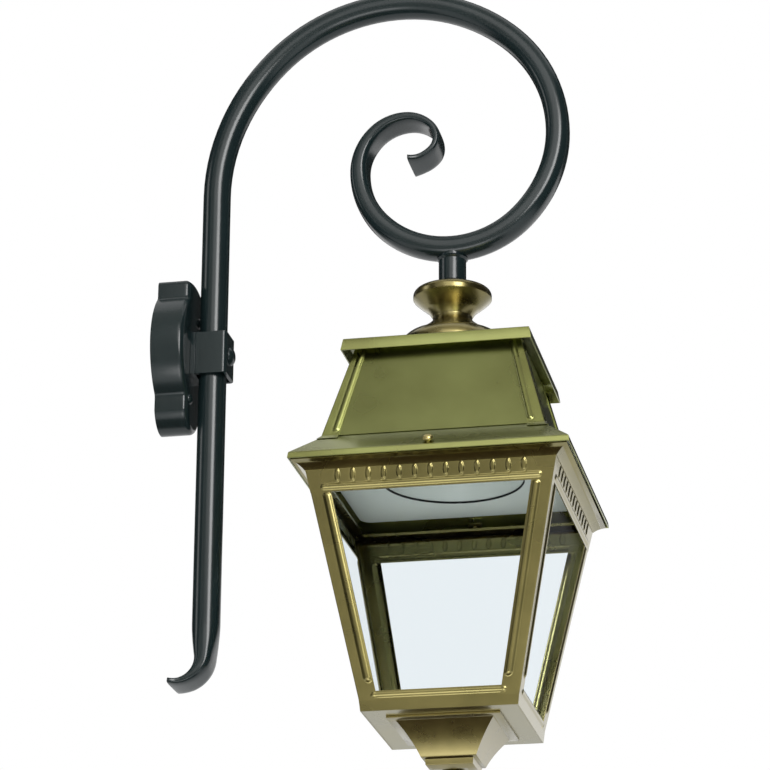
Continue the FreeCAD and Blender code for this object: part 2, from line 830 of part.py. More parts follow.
def scroll_sections(bends, inset):
    """Sections of the scroll from its start, drawn in by the inset."""
    sections = []
    steps = BEND_STEP_COUNT
    for count in range(bends * steps + 1):
        place = count / steps
        number = min(int(place), len(BEND_RADIUS_SHARES) - 1)
        turn = place * size.bend_turn
        radius = BEND_RADIUS_SHARES[number] * size.first_bend_radius
        centre = starts[number] - outward(number * size.bend_turn) * radius
        half = share_at(ARM_HALF_SHARES, place) * size.tube_radius
        width = pressed_half_width(half)
        if count == len(BEND_RADIUS_SHARES) * steps:
            width *= TIP_FLARE_SHARE
        sections.append(tube_section(centre + outward(turn) * radius, outward(turn),
                                     half - inset, width - inset))
    return sections


def tail_sections(inset, steps):
    """Sections of the fishtail from the tube's foot to its tip, drawn in by the inset."""
    sections = []
    last = len(TAIL_HALF_SHARES) - 1
    for number in range(steps + 1):
        turn = size.tail_turn * number / last
        side = outward(turn)
        centre = FreeCAD.Vector(tube_x - size.tail_bend_radius, 0, -size.tail_start)
        half = TAIL_HALF_SHARES[number] * size.tube_radius
        width = pressed_half_width(half)
        if number == last:
            width *= TIP_FLARE_SHARE
        sections.append(tube_section(centre - side * size.tail_bend_radius, side,
                                     half - inset, width - inset))
    return sections


def tube_run(tail, scroll, inset):
    """The tube in one skin, from the fishtail's tip up the upright and round the scroll,
    drawn straight from each section to the next, with one section on each side of the bolt."""
    half = size.tube_radius - inset
    beside_bolt = [tube_section(FreeCAD.Vector(tube_x, 0, height), outward(0), half, half)
                   for height in (-size.tube_radius, size.tube_radius)]
    return Part.makeLoft(tail[::-1] + beside_bolt + scroll, True, True)


def arm_solid():
    return tube_run(tail_sections(0, len(TAIL_HALF_SHARES) - 1),
                    scroll_sections(len(BEND_RADIUS_SHARES), 0), 0)


def arm_tube(solid):
    """The tube with its hollow, the bolt's cross hole and the cable's way into the hanger."""
    hollow = tube_run(tail_sections(size.tube_wall, 1),
                      scroll_sections(HOLLOW_BEND_COUNT, size.tube_wall), size.tube_wall)
    tube = solid.cut(hollow)
    tube = tube.cut(drill(size.bolt_radius + size.fit, tube_x - size.tube_radius, 0, 0,
                          2 * size.tube_radius))
    way = Part.makeCylinder(size.hanger_bore, low_half + size.overrun,
                            low_point - AXIS * (low_half + size.overrun))
    return tube.cut(way)


arm = arm_solid()
keep_fixed("arm_tube", arm_tube(arm))


# Hanger

def hanger():
    """A tube under the arm, seated on its round, with a thread at its foot."""
    foot = size.hanger_foot
    bore = size.hanger_bore
    socket = size.nipple_radius + size.fit
    outline = [(socket, foot), (size.hanger_thread_radius, foot),
               (size.hanger_thread_radius, foot + size.hanger_thread_length),
               (size.hanger_radius, foot + size.hanger_thread_length),
               (size.hanger_radius, low_point.z), (bore, low_point.z),
               (bore, foot + size.nipple_rise), (socket, foot + size.nipple_rise)]
    stem = revolved(outline)
    stem.translate(FreeCAD.Vector(size.lantern_x, 0, 0))
    return stem.cut(arm)


hanger_stem = hanger()
keep_fixed("hanger_stem", hanger_stem)
weld = revolved([(size.hanger_radius, -size.weld_radius),
                 (size.hanger_radius + size.weld_radius, 0),
                 (size.hanger_radius, size.weld_radius)])
weld.translate(FreeCAD.Vector(size.lantern_x, 0, size.arm_underside))
core = Part.makeCylinder(size.hanger_radius, 2 * size.hanger_drop,
                         FreeCAD.Vector(size.lantern_x, 0, size.hanger_foot))
keep_fixed("weld_bead", weld.cut(core).cut(arm))

deck_inside = "(deck_height - sheet)"
turned("hanger_nipple", tube_outline(
    "nipple_radius - nipple_wall", "nipple_radius", "0",
    "deck_height + gallery_height + bowl_height + lid_height + nipple_rise - fit"
    " - (holder_top - holder_neck_height / 2)"),
    "(holder_top - holder_neck_height / 2)")


def pierced_prism(name, radius, height, bore, foot):
    """A hexagon nut on the lantern's axis."""
    block = doc.addObject("Part::Prism", f"{name}_block")
    block.Polygon = 6
    hole = doc.addObject("Part::Cylinder", f"{name}_bore")
    bind(block, {"Circumradius": radius, "Height": height})
    bind(hole, {"Radius": bore, "Height": height})
    nut = doc.addObject("Part::Cut", name)
    nut.Base = block
    nut.Tool = hole
    bind(nut, {"Placement.Base.x": "lantern_x", "Placement.Base.z": f"eave_z + {foot}"})
    return keep(name, nut)


pierced_prism("nipple_nut", "nipple_nut_radius", "nipple_nut_height", "nipple_radius + fit",
              f"{deck_inside} - nipple_nut_height")

# Crown, three spun pieces

axle_bore = "(nipple_radius + fit)"
turned("crown_lid", [
    (axle_bore, "lid_height - crown_wall"),
    ("0.5 * lid_radius", "lid_height - crown_wall"),
    ("0.8 * lid_radius", "0.5 * lid_height"),
    ("lid_radius - crown_wall", "0"),
    ("lid_radius", "0"),
    ("lid_radius", "0.25 * lid_height"),
    (("0.975 * lid_radius", "0.5 * lid_height"), ("0.87 * lid_radius", "0.7 * lid_height")),
    (("0.75 * lid_radius", "0.88 * lid_height"), ("0.6 * lid_radius", "lid_height")),
    (axle_bore, "lid_height"),
], "deck_height + gallery_height + bowl_height")

turned("crown_bowl", [
    (axle_bore, "0"),
    ("1.02 * neck_radius", "0"),
    (("0.593 * bowl_radius", "0.24 * bowl_height"), ("0.67 * bowl_radius", "0.417 * bowl_height")),
    (("0.85 * bowl_radius", "0.7 * bowl_height"), ("bowl_radius", "0.97 * bowl_height")),
    ("bowl_radius", "bowl_height"),
    ("bowl_radius - crown_wall", "bowl_height"),
    ("0.66 * bowl_radius", "0.545 * bowl_height"),
    ("1.02 * neck_radius - crown_wall", "crown_wall"),
    (axle_bore, "crown_wall"),
], "deck_height + gallery_height")

turned("crown_gallery", [
    ("gallery_radius", "0"),
    (("0.96 * gallery_radius", "0.26 * gallery_height"),
     ("0.857 * gallery_radius", "0.42 * gallery_height")),
    (("0.607 * gallery_radius", "0.609 * gallery_height"),
     ("0.434 * gallery_radius", "0.796 * gallery_height")),
    ("neck_radius", "0.9 * gallery_height"),
    ("neck_radius", "gallery_height"),
    (axle_bore, "gallery_height"),
    (axle_bore, "gallery_height - crown_wall"),
    ("neck_radius - crown_wall", "gallery_height - crown_wall"),
    ("neck_radius - crown_wall", "0.8 * gallery_height"),
    ("0.5 * gallery_radius", "0.6 * gallery_height"),
    ("0.76 * gallery_radius", "0.44 * gallery_height"),
    ("0.87 * gallery_radius", "0.26 * gallery_height"),
    ("gallery_radius - crown_wall", "0"),
], "deck_height")


# Cap, chimney and roof

def cap():
    """A shallow square pyramid with a skirt, holed for the nipple."""
    outline = [(0, size.deck_height), (size.deck_half, size.deck_height),
               (size.cap_top_half, size.cap_top), (size.cap_rim_half, size.cap_rim),
               (size.cap_rim_half - size.sheet, size.cap_rim),
               (size.cap_top_half - size.sheet, size.cap_top - size.sheet),
               (size.deck_half, size.deck_height - size.sheet),
               (0, size.deck_height - size.sheet)]
    hole = Part.makeCylinder(size.nipple_radius + size.fit, 2 * size.overrun,
                             AXIS * (size.deck_height - size.overrun))
    return square_turned(outline).cut(hole)


keep_shape("chimney_cap", cap())


def chimney_half(height):
    return slant(size.chimney_foot, size.chimney_foot_half,
                 size.chimney_head, size.chimney_head_half, height)


def chimney_flange(height):
    return slant(size.chimney_foot, size.chimney_flange_foot,
                 size.chimney_head, size.chimney_flange_head, height)


def chimney_corner():
    """A strip with a bead on each face and a toe that turns out on to the roof."""
    wall = size.thin_sheet
    toe = roof_height(size.toe_half - wall) + size.running_fit
    toe_flange = size.chimney_flange_foot + size.toe_half - size.chimney_foot_half
    ends = [(height, chimney_half(height), chimney_flange(height))
            for height in (size.chimney_bead_foot, size.chimney_bead_top)]
    strip = beaded_corner(
        [(size.chimney_foot, size.chimney_foot_half, size.chimney_flange_foot),
         (size.chimney_head, size.chimney_head_half, size.chimney_flange_head)],
        wall, (ends[0], ends[1], size.chimney_bead_radius))
    turned_out = Part.makeLoft([
        angle_section(toe, size.toe_half, toe_flange, wall),
        angle_section(size.chimney_foot, size.chimney_foot_half, size.chimney_flange_foot, wall),
    ], True, True)
    return strip.fuse(turned_out).removeSplitter()


corner_strip = chimney_corner()
for quarter, corner in enumerate(CORNERS):
    keep_shape(f"chimney_corner_{corner}", turned_about_axis(corner_strip, quarter))
for quarter, side in enumerate(SIDES):
    slanted_sheet(f"chimney_panel_{side}", quarter, "chimney_foot", "chimney_head",
                  ("(chimney_foot_half - thin_sheet)", "(chimney_head_half - thin_sheet)"),
                  "thin_sheet + fit", "thin_sheet")


def screw_line(depth):
    """Place of the front thumb screw's axis at a depth under the roof, as half width and
    height."""
    slope = math.radians(size.roof_slope)
    return (size.thumb_screw_half - depth * math.sin(slope),
            size.thumb_screw_height - depth * math.cos(slope))


def screw_hole(radius):
    """A cylinder on a thumb screw's axis, for the screw on the side towards +X."""
    low, high = screw_line(2 * size.thumb_screw_length), screw_line(-size.thumb_screw_length)
    foot = FreeCAD.Vector(low[0], 0, low[1])
    run = FreeCAD.Vector(high[0], 0, high[1]) - foot
    return Part.makeCylinder(radius, run.Length, foot, run)


def roof():
    """The sloping skirt with its rim, and an upstand inside the chimney."""
    inner, sheet_gauge = size.inside_half, size.sheet
    top = roof_height(inner) + size.upstand_height
    top_half = inner + chimney_half(top) - chimney_half(roof_height(inner))
    outline = [(top_half, top), (inner, roof_height(inner)),
               (size.roof_half, size.rim_height), (size.roof_half, 0),
               (size.roof_half - sheet_gauge, 0),
               (size.roof_half - sheet_gauge, roof_underside(size.roof_half - sheet_gauge)),
               (inner - sheet_gauge, roof_underside(inner - sheet_gauge)),
               (top_half - sheet_gauge, top)]
    skirt = square_turned(outline)
    for quarter in (1, 3):
        hole = turned_about_axis(screw_hole(size.thumb_screw_radius + size.fit), quarter)
        skirt = skirt.cut(hole)
    return skirt


keep_shape("roof_skirt", roof())

# Thumb screws and the cage's lugs that they hold

thumb_neck = "(fit + thumb_neck_height)"
thumb_outline = [
    ("0", "-thumb_screw_length"),
    ("thumb_screw_radius", "-thumb_screw_length"),
    ("thumb_screw_radius", "fit"),
    ("0.8 * thumb_head_radius", "fit"),
    ("0.62 * thumb_head_radius", thumb_neck),
    (("thumb_head_radius", f"{thumb_neck} + 0.4 * thumb_head_height"),
     ("0.66 * thumb_head_radius", f"{thumb_neck} + 0.87 * thumb_head_height")),
    (("0.4 * thumb_head_radius", f"{thumb_neck} + 0.97 * thumb_head_height"),
     (f"{DOME_FLAT_SHARE} * thumb_head_radius", f"{thumb_neck} + thumb_head_height")),
    ("0", f"{thumb_neck} + thumb_head_height"),
]
for side, sign in (("front", -1), ("back", 1)):
    screw = turned_body(f"thumb_screw_{side}", thumb_outline)
    lean = FreeCAD.Rotation(FreeCAD.Vector(1, 0, 0), -sign * size.roof_slope)
    screw.Placement = FreeCAD.Placement(FreeCAD.Vector(), lean)
    bind(screw, {"Placement.Base.x": "lantern_x",
                 "Placement.Base.y": f"{sign} * thumb_screw_half",
                 "Placement.Base.z": "eave_z + thumb_screw_height"})
    keep(f"thumb_screw_{side}", screw)


def cage_lug():
    """A folded lug on the cage's top flange, with a tab under the roof for a thumb screw."""
    slope = math.radians(size.roof_slope)
    uphill = FreeCAD.Vector(-math.cos(slope), 0, math.sin(slope)) * size.lug_reach

    def on_screw(depth):
        half, height = screw_line(depth)
        return FreeCAD.Vector(half, 0, height)

    outer, inner = on_screw(size.lug_depth), on_screw(size.lug_depth + size.sheet)
    flange = size.cove_top
    toe = FreeCAD.Vector(size.cove_flange_half + size.lug_reach, 0, flange)
    face = polygon_face([
        outer + uphill, outer - uphill,
        FreeCAD.Vector((outer - uphill).x, 0, flange), toe,
        toe + AXIS * size.sheet,
        FreeCAD.Vector((inner - uphill).x, 0, flange + size.sheet),
        inner - uphill, inner + uphill])
    face.translate(FreeCAD.Vector(0, -size.lug_width / 2, 0))
    lug = face.extrude(FreeCAD.Vector(0, size.lug_width, 0))
    return lug.cut(screw_hole(size.thumb_screw_radius + size.running_fit))


lug = cage_lug()
keep_shape("cage_lug_back", turned_about_axis(lug, 1))
keep_shape("cage_lug_front", turned_about_axis(lug, 3))


# Cage

def cove():
    """The concave moulding under the rim, with a flange that turns inwards."""
    top, foot = size.cove_top, size.cove_top - size.sheet
    low, low_half = size.frieze_top, size.frieze_top_half
    reach, drop = size.cove_half - low_half, foot - low
    lip = 0.4 * size.sheet
    return square_turned([
        (size.cove_flange_half, top), (size.cove_half, top), (size.cove_half, foot),
        ((low_half + 0.46 * reach, foot - 0.333 * drop), (low_half + lip, low)),
        (low_half + lip - size.sheet, low),
        ((low_half + 0.296 * reach, foot - 0.347 * drop), (size.cove_half - 2 * size.sheet, foot)),
        (size.cove_flange_half, foot)])


def faced_bars(shape, low, low_half, high, high_half, height, reach, radius, ball, wall):
    """Add a half-round bar along each face of a leaning square band."""
    half = slant(low, low_half, high, high_half, height)
    core = square_frustum(low, low_half - wall / 2, high, high_half - wall / 2)
    bar = bar_between(FreeCAD.Vector(half, -reach, height), FreeCAD.Vector(half, reach, height),
                      radius, ball).cut(core)
    return shape.multiFuse([turned_about_axis(bar, quarter) for quarter in range(4)])


def reeds():
    """A row of upright ovals that stand out of one leaning face of the frieze."""
    height = size.frieze_foot + size.reed_rise
    half = slant(size.frieze_foot, size.frieze_foot_half,
                 size.frieze_top, size.frieze_top_half, height)
    up = FreeCAD.Vector(size.frieze_lean, 0, size.frieze_height).normalize()
    out = FreeCAD.Vector(0, 1, 0).cross(up)
    reach = size.frieze_bead_half - size.reed_inset
    ovals = []
    for number in range(REED_COUNT):
        side = reach * (2 * number / (REED_COUNT - 1) - 1)
        centre = FreeCAD.Vector(half, side, height) - out * (size.frieze_wall / 2)
        oval = Part.Ellipse(centre + up * (size.reed_height / 2),
                            centre + FreeCAD.Vector(0, size.reed_width / 2, 0), centre)
        face = Part.Face(Part.Wire([oval.toShape()]))
        ovals.append(face.extrude(out * (size.frieze_wall / 2 + size.reed_relief)))
    return ovals


def frieze():
    """The band under the cove, with a row of upright ovals over a bead on each face."""
    band = square_turned([
        (size.frieze_top_half, size.frieze_top), (size.frieze_foot_half, size.frieze_foot),
        (size.frieze_foot_half - size.frieze_wall, size.frieze_foot),
        (size.frieze_top_half - size.frieze_wall, size.frieze_top)])
    ovals = [turned_about_axis(oval, quarter) for oval in reeds() for quarter in range(4)]
    band = band.multiFuse(ovals)
    return faced_bars(band, size.frieze_foot, size.frieze_foot_half, size.frieze_top,
                      size.frieze_top_half, size.frieze_bead_height, size.frieze_bead_half,
                      size.frieze_bead_radius, size.frieze_bead_radius, size.frieze_wall)


def bottom_rail():
    """The band round the cage's foot, with a bead between two balls along each face."""
    band = square_turned([
        (size.rail_top_half, size.rail_top), (size.rail_foot_half, size.rail_foot),
        (size.rail_foot_half - size.thin_sheet, size.rail_foot),
        (size.rail_top_half - size.thin_sheet, size.rail_top)])
    return faced_bars(band, size.rail_foot, size.rail_foot_half, size.rail_top,
                      size.rail_top_half, size.rail_top - size.rail_bead_drop,
                      size.rail_bead_half, size.rail_bead_radius,
                      size.rail_blob_radius, size.thin_sheet)


def corner_post():
    """An angle post with a bead along the free edge of each face."""
    def at(height):
        return (height,
                slant(size.post_foot, size.post_foot_half,
                      size.post_head, size.post_head_half, height),
                slant(size.post_foot, size.post_flange_foot,
                      size.post_head, size.post_flange_head, height))

    return beaded_corner([at(size.post_foot), at(size.post_head)], size.thin_sheet,
                         (at(size.post_bead_foot), at(size.post_bead_top), size.post_bead_radius))


keep_shape("cove", cove())
keep_shape("frieze", frieze())
keep_shape("bottom_rail", bottom_rail())
post = corner_post()
for quarter, corner in enumerate(CORNERS):
    keep_shape(f"post_{corner}", turned_about_axis(post, quarter))
for quarter, side in enumerate(SIDES):
    slanted_sheet(f"glass_{side}", quarter, "post_foot", "post_head",
                  ("(post_foot_half - thin_sheet - fit)", "(post_head_half - thin_sheet - fit)"),
                  "pane_thickness + fit", "pane_thickness")

# Tray, pendant and finial

tray_half = "(rail_foot_half - thin_sheet - running_fit)"
tray = padded("tray", "XY_Plane",
              [(tray_half, f"-{tray_half}"), (tray_half, tray_half),
               (f"-{tray_half}", tray_half), (f"-{tray_half}", f"-{tray_half}")],
              [(("0", "0"), "stud_radius + fit")], "sheet")
bind(tray, {"Placement.Base.x": "lantern_x", "Placement.Base.z": "eave_z + rail_foot"})
keep("tray", tray)


def pendant():
    """A stepped square drop with concave sides, drilled for the stud."""
    half, tall, top = size.pendant_half, size.pendant_height, size.rail_foot

    def spot(half_share, depth_share):
        return (half_share * half, top - depth_share * tall)

    block = square_turned([
        spot(0, 0), spot(1, 0), spot(1, 0.045), spot(0.85, 0.055),
        (spot(0.865, 0.1), spot(0.82, 0.15)),
        (spot(0.64, 0.33), spot(0.49, 0.69)),
        spot(0.485, 0.73), spot(0.426, 0.745), spot(0.416, 0.9),
        (spot(0.385, 0.965), spot(0.3, 1)), spot(0, 1)])
    hole = Part.makeCylinder(size.stud_radius + size.fit, tall + 2 * size.overrun,
                             AXIS * (top - tall - size.overrun))
    return block.cut(hole)


keep_shape("pendant", pendant())

stud_bore = "(stud_radius + fit)"
turned("finial", [
    ("0", "0.3 * finial_height"),
    (stud_bore, "0.3 * finial_height"),
    (stud_bore, "finial_height"),
    ("0.8 * finial_radius", "finial_height"),
    (("finial_radius", "0.79 * finial_height"), ("0.8 * finial_radius", "0.57 * finial_height")),
    ("0.6 * finial_radius", "0.53 * finial_height"),
    (("0.46 * finial_radius", "0.16 * finial_height"), (f"{DOME_FLAT_SHARE} * finial_radius", "0")),
    ("0", "0"),
], "rail_foot - pendant_height - finial_height")

stud_foot = "(rail_foot - pendant_height - 0.6 * finial_height)"
turned("tie_stud", [
    ("0", "0"), ("stud_radius", "0"),
    ("stud_radius", f"rail_foot + sheet + stud_nut_height + fit - {stud_foot}"),
    ("0", f"rail_foot + sheet + stud_nut_height + fit - {stud_foot}"),
], stud_foot)
pierced_prism("stud_nut", "stud_nut_radius", "stud_nut_height", "stud_radius + fit",
              "(rail_foot + sheet)")

# Reflector, lampholder and lamp


def rounded_square(half, corner):
    """A square outline with round corners, its middle at the origin."""
    knuckle = f"({half} - 0.2929 * {corner})"
    edge = f"({half} - {corner})"
    outline = []
    for x, y in (("", "-"), ("", ""), ("-", ""), ("-", "-")):
        along = [(f"{x}{edge}", f"{y}{half}"), (f"{x}{half}", f"{y}{edge}")]
        if x == y:
            along.reverse()
        outline += [along[0], ((f"{x}{knuckle}", f"{y}{knuckle}"), along[1])]
    return outline


reflector = padded("reflector_plate", "XY_Plane",
                   rounded_square("reflector_half", "reflector_corner"),
                   [(("0", "0"), "dome_radius")], "reflector_edge")
well = new_sketch(reflector, "XY_Plane", "reflector_well")
closed_outline(well, rounded_square("(reflector_half - thin_sheet)",
                                    "(reflector_corner - thin_sheet)"))
bind(well, {"AttachmentOffset.Base.z": "thin_sheet"})
pan = reflector.newObject("PartDesign::Pocket", "reflector_pan")
pan.Profile = well
pan.Reversed = True
bind(pan, {"Length": "reflector_edge"})
bind(reflector, {"Placement.Base.x": "lantern_x",
                 "Placement.Base.z": "eave_z + reflector_height"})
keep("reflector_plate", reflector)

dome_wall = "thin_sheet"
dome_top = "(holder_radius + fit)"
turned("reflector_dome", [
    ("0.8 * dome_radius", f"0.6 * dome_height - {dome_wall}"),
    ("dome_radius", "0"),
    ("dome_radius + dome_rim", "0"),
    ("dome_radius + dome_rim", dome_wall),
    (f"dome_radius + {dome_wall}", dome_wall),
    (f"0.8 * dome_radius + {dome_wall}", "0.6 * dome_height"),
    (dome_top, "dome_height"),
    (dome_top, f"dome_height - {dome_wall}"),
], "(reflector_height + thin_sheet)")

turned("lampholder", [
    ("socket_radius", "0"),
    ("holder_radius", "0"),
    ("holder_radius", "holder_top - holder_foot - holder_neck_height"),
    ("holder_neck_radius", "holder_top - holder_foot - 0.85 * holder_neck_height"),
    ("holder_neck_radius", "holder_top - holder_foot"),
    (axle_bore, "holder_top - holder_foot"),
    (axle_bore, "holder_top - holder_foot - holder_neck_height / 2 - fit"),
    ("0", "holder_top - holder_foot - holder_neck_height / 2 - fit"),
    ("0", "socket_depth"),
    ("socket_radius", "socket_depth"),
], "holder_foot")

turned("lamp", [
    ("0", "0"),
    ("0.5 * lamp_radius", "0"),
    ("0.87 * lamp_radius", "0.35 * lamp_radius"),
    ("lamp_radius", "0.9 * lamp_radius"),
    ("0.87 * lamp_radius", "1.45 * lamp_radius"),
    ("lamp_base_radius", "lamp_length - lamp_base_length"),
    ("lamp_base_radius", "lamp_length"),
    ("0", "lamp_length"),
], "(holder_foot + socket_depth - fit - lamp_length)")

# Check every object, then write each piece

doc.recompute()
for item in doc.Objects:
    if {"Invalid", "Error"} & set(item.State):
        raise RuntimeError(f"{item.Label} failed: {item.State}")
for name, item in nodes.items():
    if item.Shape.isNull() or not item.Shape.isValid():
        raise RuntimeError(f"{name} has no valid shape")

os.makedirs("parts", exist_ok=True)
for name, item in nodes.items():
    item.Shape.exportStep(f"parts/{name}.step")
    box = item.Shape.BoundBox
    print(f"{name}: {len(item.Shape.Solids)} solid, {item.Shape.Volume:.0f} mm3, "
          f"Z {box.ZMin:.1f} to {box.ZMax:.1f}")
print(f"lantern axis {size.lantern_x:.1f} mm from the wall, eave at {size.eave_z:.1f} mm")
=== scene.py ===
# %% [markdown]
# # A wall lantern on a scrolled arm
# The lantern is folded from brass sheet, glazed on four sides and hung from a painted steel
# tube. The construction is loaded as a fixed frame. Each visible piece is then either given
# a finish, or replaced by a finer surface in the same place.

# %% Load the frame
import json
import math

import bmesh
import bpy
import numpy as np
from mathutils import Matrix, Vector


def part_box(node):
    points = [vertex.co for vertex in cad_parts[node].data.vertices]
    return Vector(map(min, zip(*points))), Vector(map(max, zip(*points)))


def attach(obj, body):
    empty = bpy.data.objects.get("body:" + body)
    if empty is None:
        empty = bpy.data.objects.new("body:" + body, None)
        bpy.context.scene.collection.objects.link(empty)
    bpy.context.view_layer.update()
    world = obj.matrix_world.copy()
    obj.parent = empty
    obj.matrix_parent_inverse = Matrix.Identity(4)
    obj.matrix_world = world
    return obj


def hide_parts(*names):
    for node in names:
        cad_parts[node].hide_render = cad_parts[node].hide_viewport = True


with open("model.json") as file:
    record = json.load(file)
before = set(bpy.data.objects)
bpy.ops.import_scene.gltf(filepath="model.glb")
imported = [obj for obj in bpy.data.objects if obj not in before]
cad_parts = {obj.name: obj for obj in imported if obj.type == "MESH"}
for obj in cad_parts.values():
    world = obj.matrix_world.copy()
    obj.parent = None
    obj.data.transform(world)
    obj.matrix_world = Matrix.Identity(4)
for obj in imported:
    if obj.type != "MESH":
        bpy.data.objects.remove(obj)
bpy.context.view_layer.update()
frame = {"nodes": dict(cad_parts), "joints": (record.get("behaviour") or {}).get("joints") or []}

MM = 0.001
FIXED_BODY = "lantern_on_arm"
print("nodes in the frame:", len(frame["nodes"]))

# %% [markdown]
# ## Where things are
# The lantern's upright axis and its eave carry every measure of the lantern, so both are read
# from the roof's box. Its heights are counted from the eave, and its half widths from the
# axis, both in millimetres.

# %% The lantern's axis and the eave
roof_low, roof_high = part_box("roof_skirt")
AXIS_X = (roof_low.x + roof_high.x) / 2 / MM
EAVE_Z = roof_low.z / MM
ROOF_HALF = (roof_high.x - roof_low.x) / 2 / MM
SIDES = ("front", "right", "back", "left")
CORNERS = ("back_right", "back_left", "front_left", "front_right")
print(f"lantern axis {AXIS_X:.1f} mm from the wall, eave at {EAVE_Z:.1f} mm, "
      f"roof {2 * ROOF_HALF:.1f} mm wide")

# %% [markdown]
# ## The camera
# The photograph was taken from below and a little to the right with a long lens. The camera's
# place and lens were worked out from the lantern's corners and the arm's arcs.

# %% Camera
SENSOR = 36.0
CAMERA_PLACE = (0.9526, -3.3296, -1.3194)
CAMERA_LENS = 150.0
CAMERA_YAW, CAMERA_PITCH, CAMERA_ROLL = 11.72, 20.51, 0.33

camera_data = bpy.data.cameras.new("camera")
camera_data.lens = CAMERA_LENS
camera_data.sensor_width = SENSOR
camera_data.clip_end = 50
camera = bpy.data.objects.new("camera", camera_data)
bpy.context.scene.collection.objects.link(camera)
turn = (Matrix.Rotation(math.radians(CAMERA_YAW), 4, "Z")
        @ Matrix.Rotation(math.radians(90 + CAMERA_PITCH), 4, "X")
        @ Matrix.Rotation(math.radians(CAMERA_ROLL), 4, "Z"))
camera.matrix_world = Matrix.Translation(CAMERA_PLACE) @ turn
bpy.context.scene.camera = camera
print(f"camera at {CAMERA_PLACE} m, lens {CAMERA_LENS:.0f} mm")

# %% [markdown]
# ## Helpers for materials
# Colours are written as sRGB hex values, as a paint chart gives them, and turned to linear
# light. One function adds a node, sets its values and links its inputs, so that a material
# reads as a list of its parts.

# %% Colour and node helpers


def linear(hex_colour):
    """The linear RGBA of an sRGB hex colour: each channel c becomes c/12.92 when it is very
    dark, and ((c + 0.055)/1.055) to the power 2.4 otherwise."""
    channels = np.array([int(hex_colour[i:i + 2], 16) for i in (1, 3, 5)]) / 255
    bright = ((channels + 0.055) / 1.055) ** 2.4
    return (*np.where(channels < 0.04045, channels / 12.92, bright), 1.0)


def add(owner, kind, links=None, **settings):
    """Adds a node to a material or to the world. Settings named as the node's own properties
    are set there, and the others on its inputs. Links name an input and what feeds it."""
    node = owner.node_tree.nodes.new(kind)
    for name, setting in settings.items():
        if hasattr(node, name):
            setattr(node, name, setting)
        else:
            node.inputs[name.replace("_", " ")].default_value = setting
    for name, output in (links or {}).items():
        owner.node_tree.links.new(output, node.inputs[name])
    return node


def new_material(name):
    """An empty material with its output node and its Object coordinates."""
    material = bpy.data.materials.new(name)
    material.use_nodes = True
    material.node_tree.nodes.clear()
    output = add(material, "ShaderNodeOutputMaterial")
    place = add(material, "ShaderNodeTexCoord")
    return material, output, place.outputs["Object"]


def blend_colours(material, share, low, high):
    """Two colours mixed by a share."""
    mix = add(material, "ShaderNodeMix", data_type="RGBA")
    mix.inputs[6].default_value = linear(low)
    mix.inputs[7].default_value = linear(high)
    material.node_tree.links.new(share, mix.inputs[0])
    return mix.outputs[2]


def ramp(material, value, low, high, to_low=0.0, to_high=1.0):
    """Stretches a value from one range to another."""
    node = add(material, "ShaderNodeMapRange", {"Value": value})
    for name, number in (("From Min", low), ("From Max", high), ("To Min", to_low),
                         ("To Max", to_high)):
        node.inputs[name].default_value = number
    return node.outputs["Result"]


print("white is", np.round(linear("#ffffff"), 3), "and mid grey", np.round(linear("#808080"), 3))

# %% [markdown]
# ## Antiqued brass
# The sheet is brass that was darkened in a bath, rubbed back and lacquered. It gives an olive
# gold with very soft patches, about 80 mm wide on sheet and 40 mm on the spun pieces, and a
# fine rubbing grain. The lacquer is a clear coat: it stays glossy where the metal under it is
# satin. The colours are a little lighter than the brass looks, because it mirrors darker
# cards.

# %% Antiqued brass
CLOUD_LOW, CLOUD_HIGH = 0.3, 0.7
GRAIN_MM = 1.5
LACQUER, LACQUER_ROUGHNESS = 0.85, 0.2


def antiqued_brass(name, dark, light, rough_low=0.25, rough_high=0.32, patch_mm=80):
    """Brass whose colour and roughness follow a cloudy noise. The grain is a few tenths of a
    millimetre wide on the real sheet; it is drawn wider, so that it shows, as a faint bump."""
    material, output, place = new_material(name)
    cloud = add(material, "ShaderNodeTexNoise", {"Vector": place},
                Scale=1 / (patch_mm * MM), Detail=3.0, Roughness=0.5)
    shade = cloud.outputs["Fac"]
    colour = blend_colours(material, ramp(material, shade, CLOUD_LOW, CLOUD_HIGH), dark, light)
    rough = ramp(material, shade, CLOUD_LOW, CLOUD_HIGH, rough_low, rough_high)
    grain = add(material, "ShaderNodeTexNoise", {"Vector": place},
                Scale=1 / (GRAIN_MM * MM), Detail=3.0)
    bump = add(material, "ShaderNodeBump", {"Height": grain.outputs["Fac"]},
               Strength=0.03, Distance=0.1 * MM)
    shader = add(material, "ShaderNodeBsdfPrincipled",
                 {"Base Color": colour, "Roughness": rough, "Normal": bump.outputs["Normal"]},
                 Metallic=1.0, Coat_Weight=LACQUER, Coat_Roughness=LACQUER_ROUGHNESS)
    material.node_tree.links.new(shader.outputs["BSDF"], output.inputs["Surface"])
    print(f"{name}: {dark} to {light}")
    return material


brass = antiqued_brass("antiqued_brass_sheet", "#817841", "#958a50")
brass_green = antiqued_brass("antiqued_brass_panel", "#6f7238", "#80854a")
brass_roof = antiqued_brass("antiqued_brass_roof", "#808243", "#959a55")
brass_cast = antiqued_brass("antiqued_brass_spun", "#7c7240", "#928650", patch_mm=40)
brass_bright = antiqued_brass("polished_brass_screw", "#b9aa68", "#d2c480",
                              rough_low=0.3, rough_high=0.36)

# %% [markdown]
# ## Painted steel, enamel, zinc and plastic
# The arm and the wall plate wear a very dark green-black paint with a satin gloss and a faint
# orange peel. The reflector is white enamel. Hidden steel is zinc plated, the lampholder is
# moulded phenolic plastic and the bulb is frosted. One function makes them all: a colour that
# varies a little, and a soft bump.

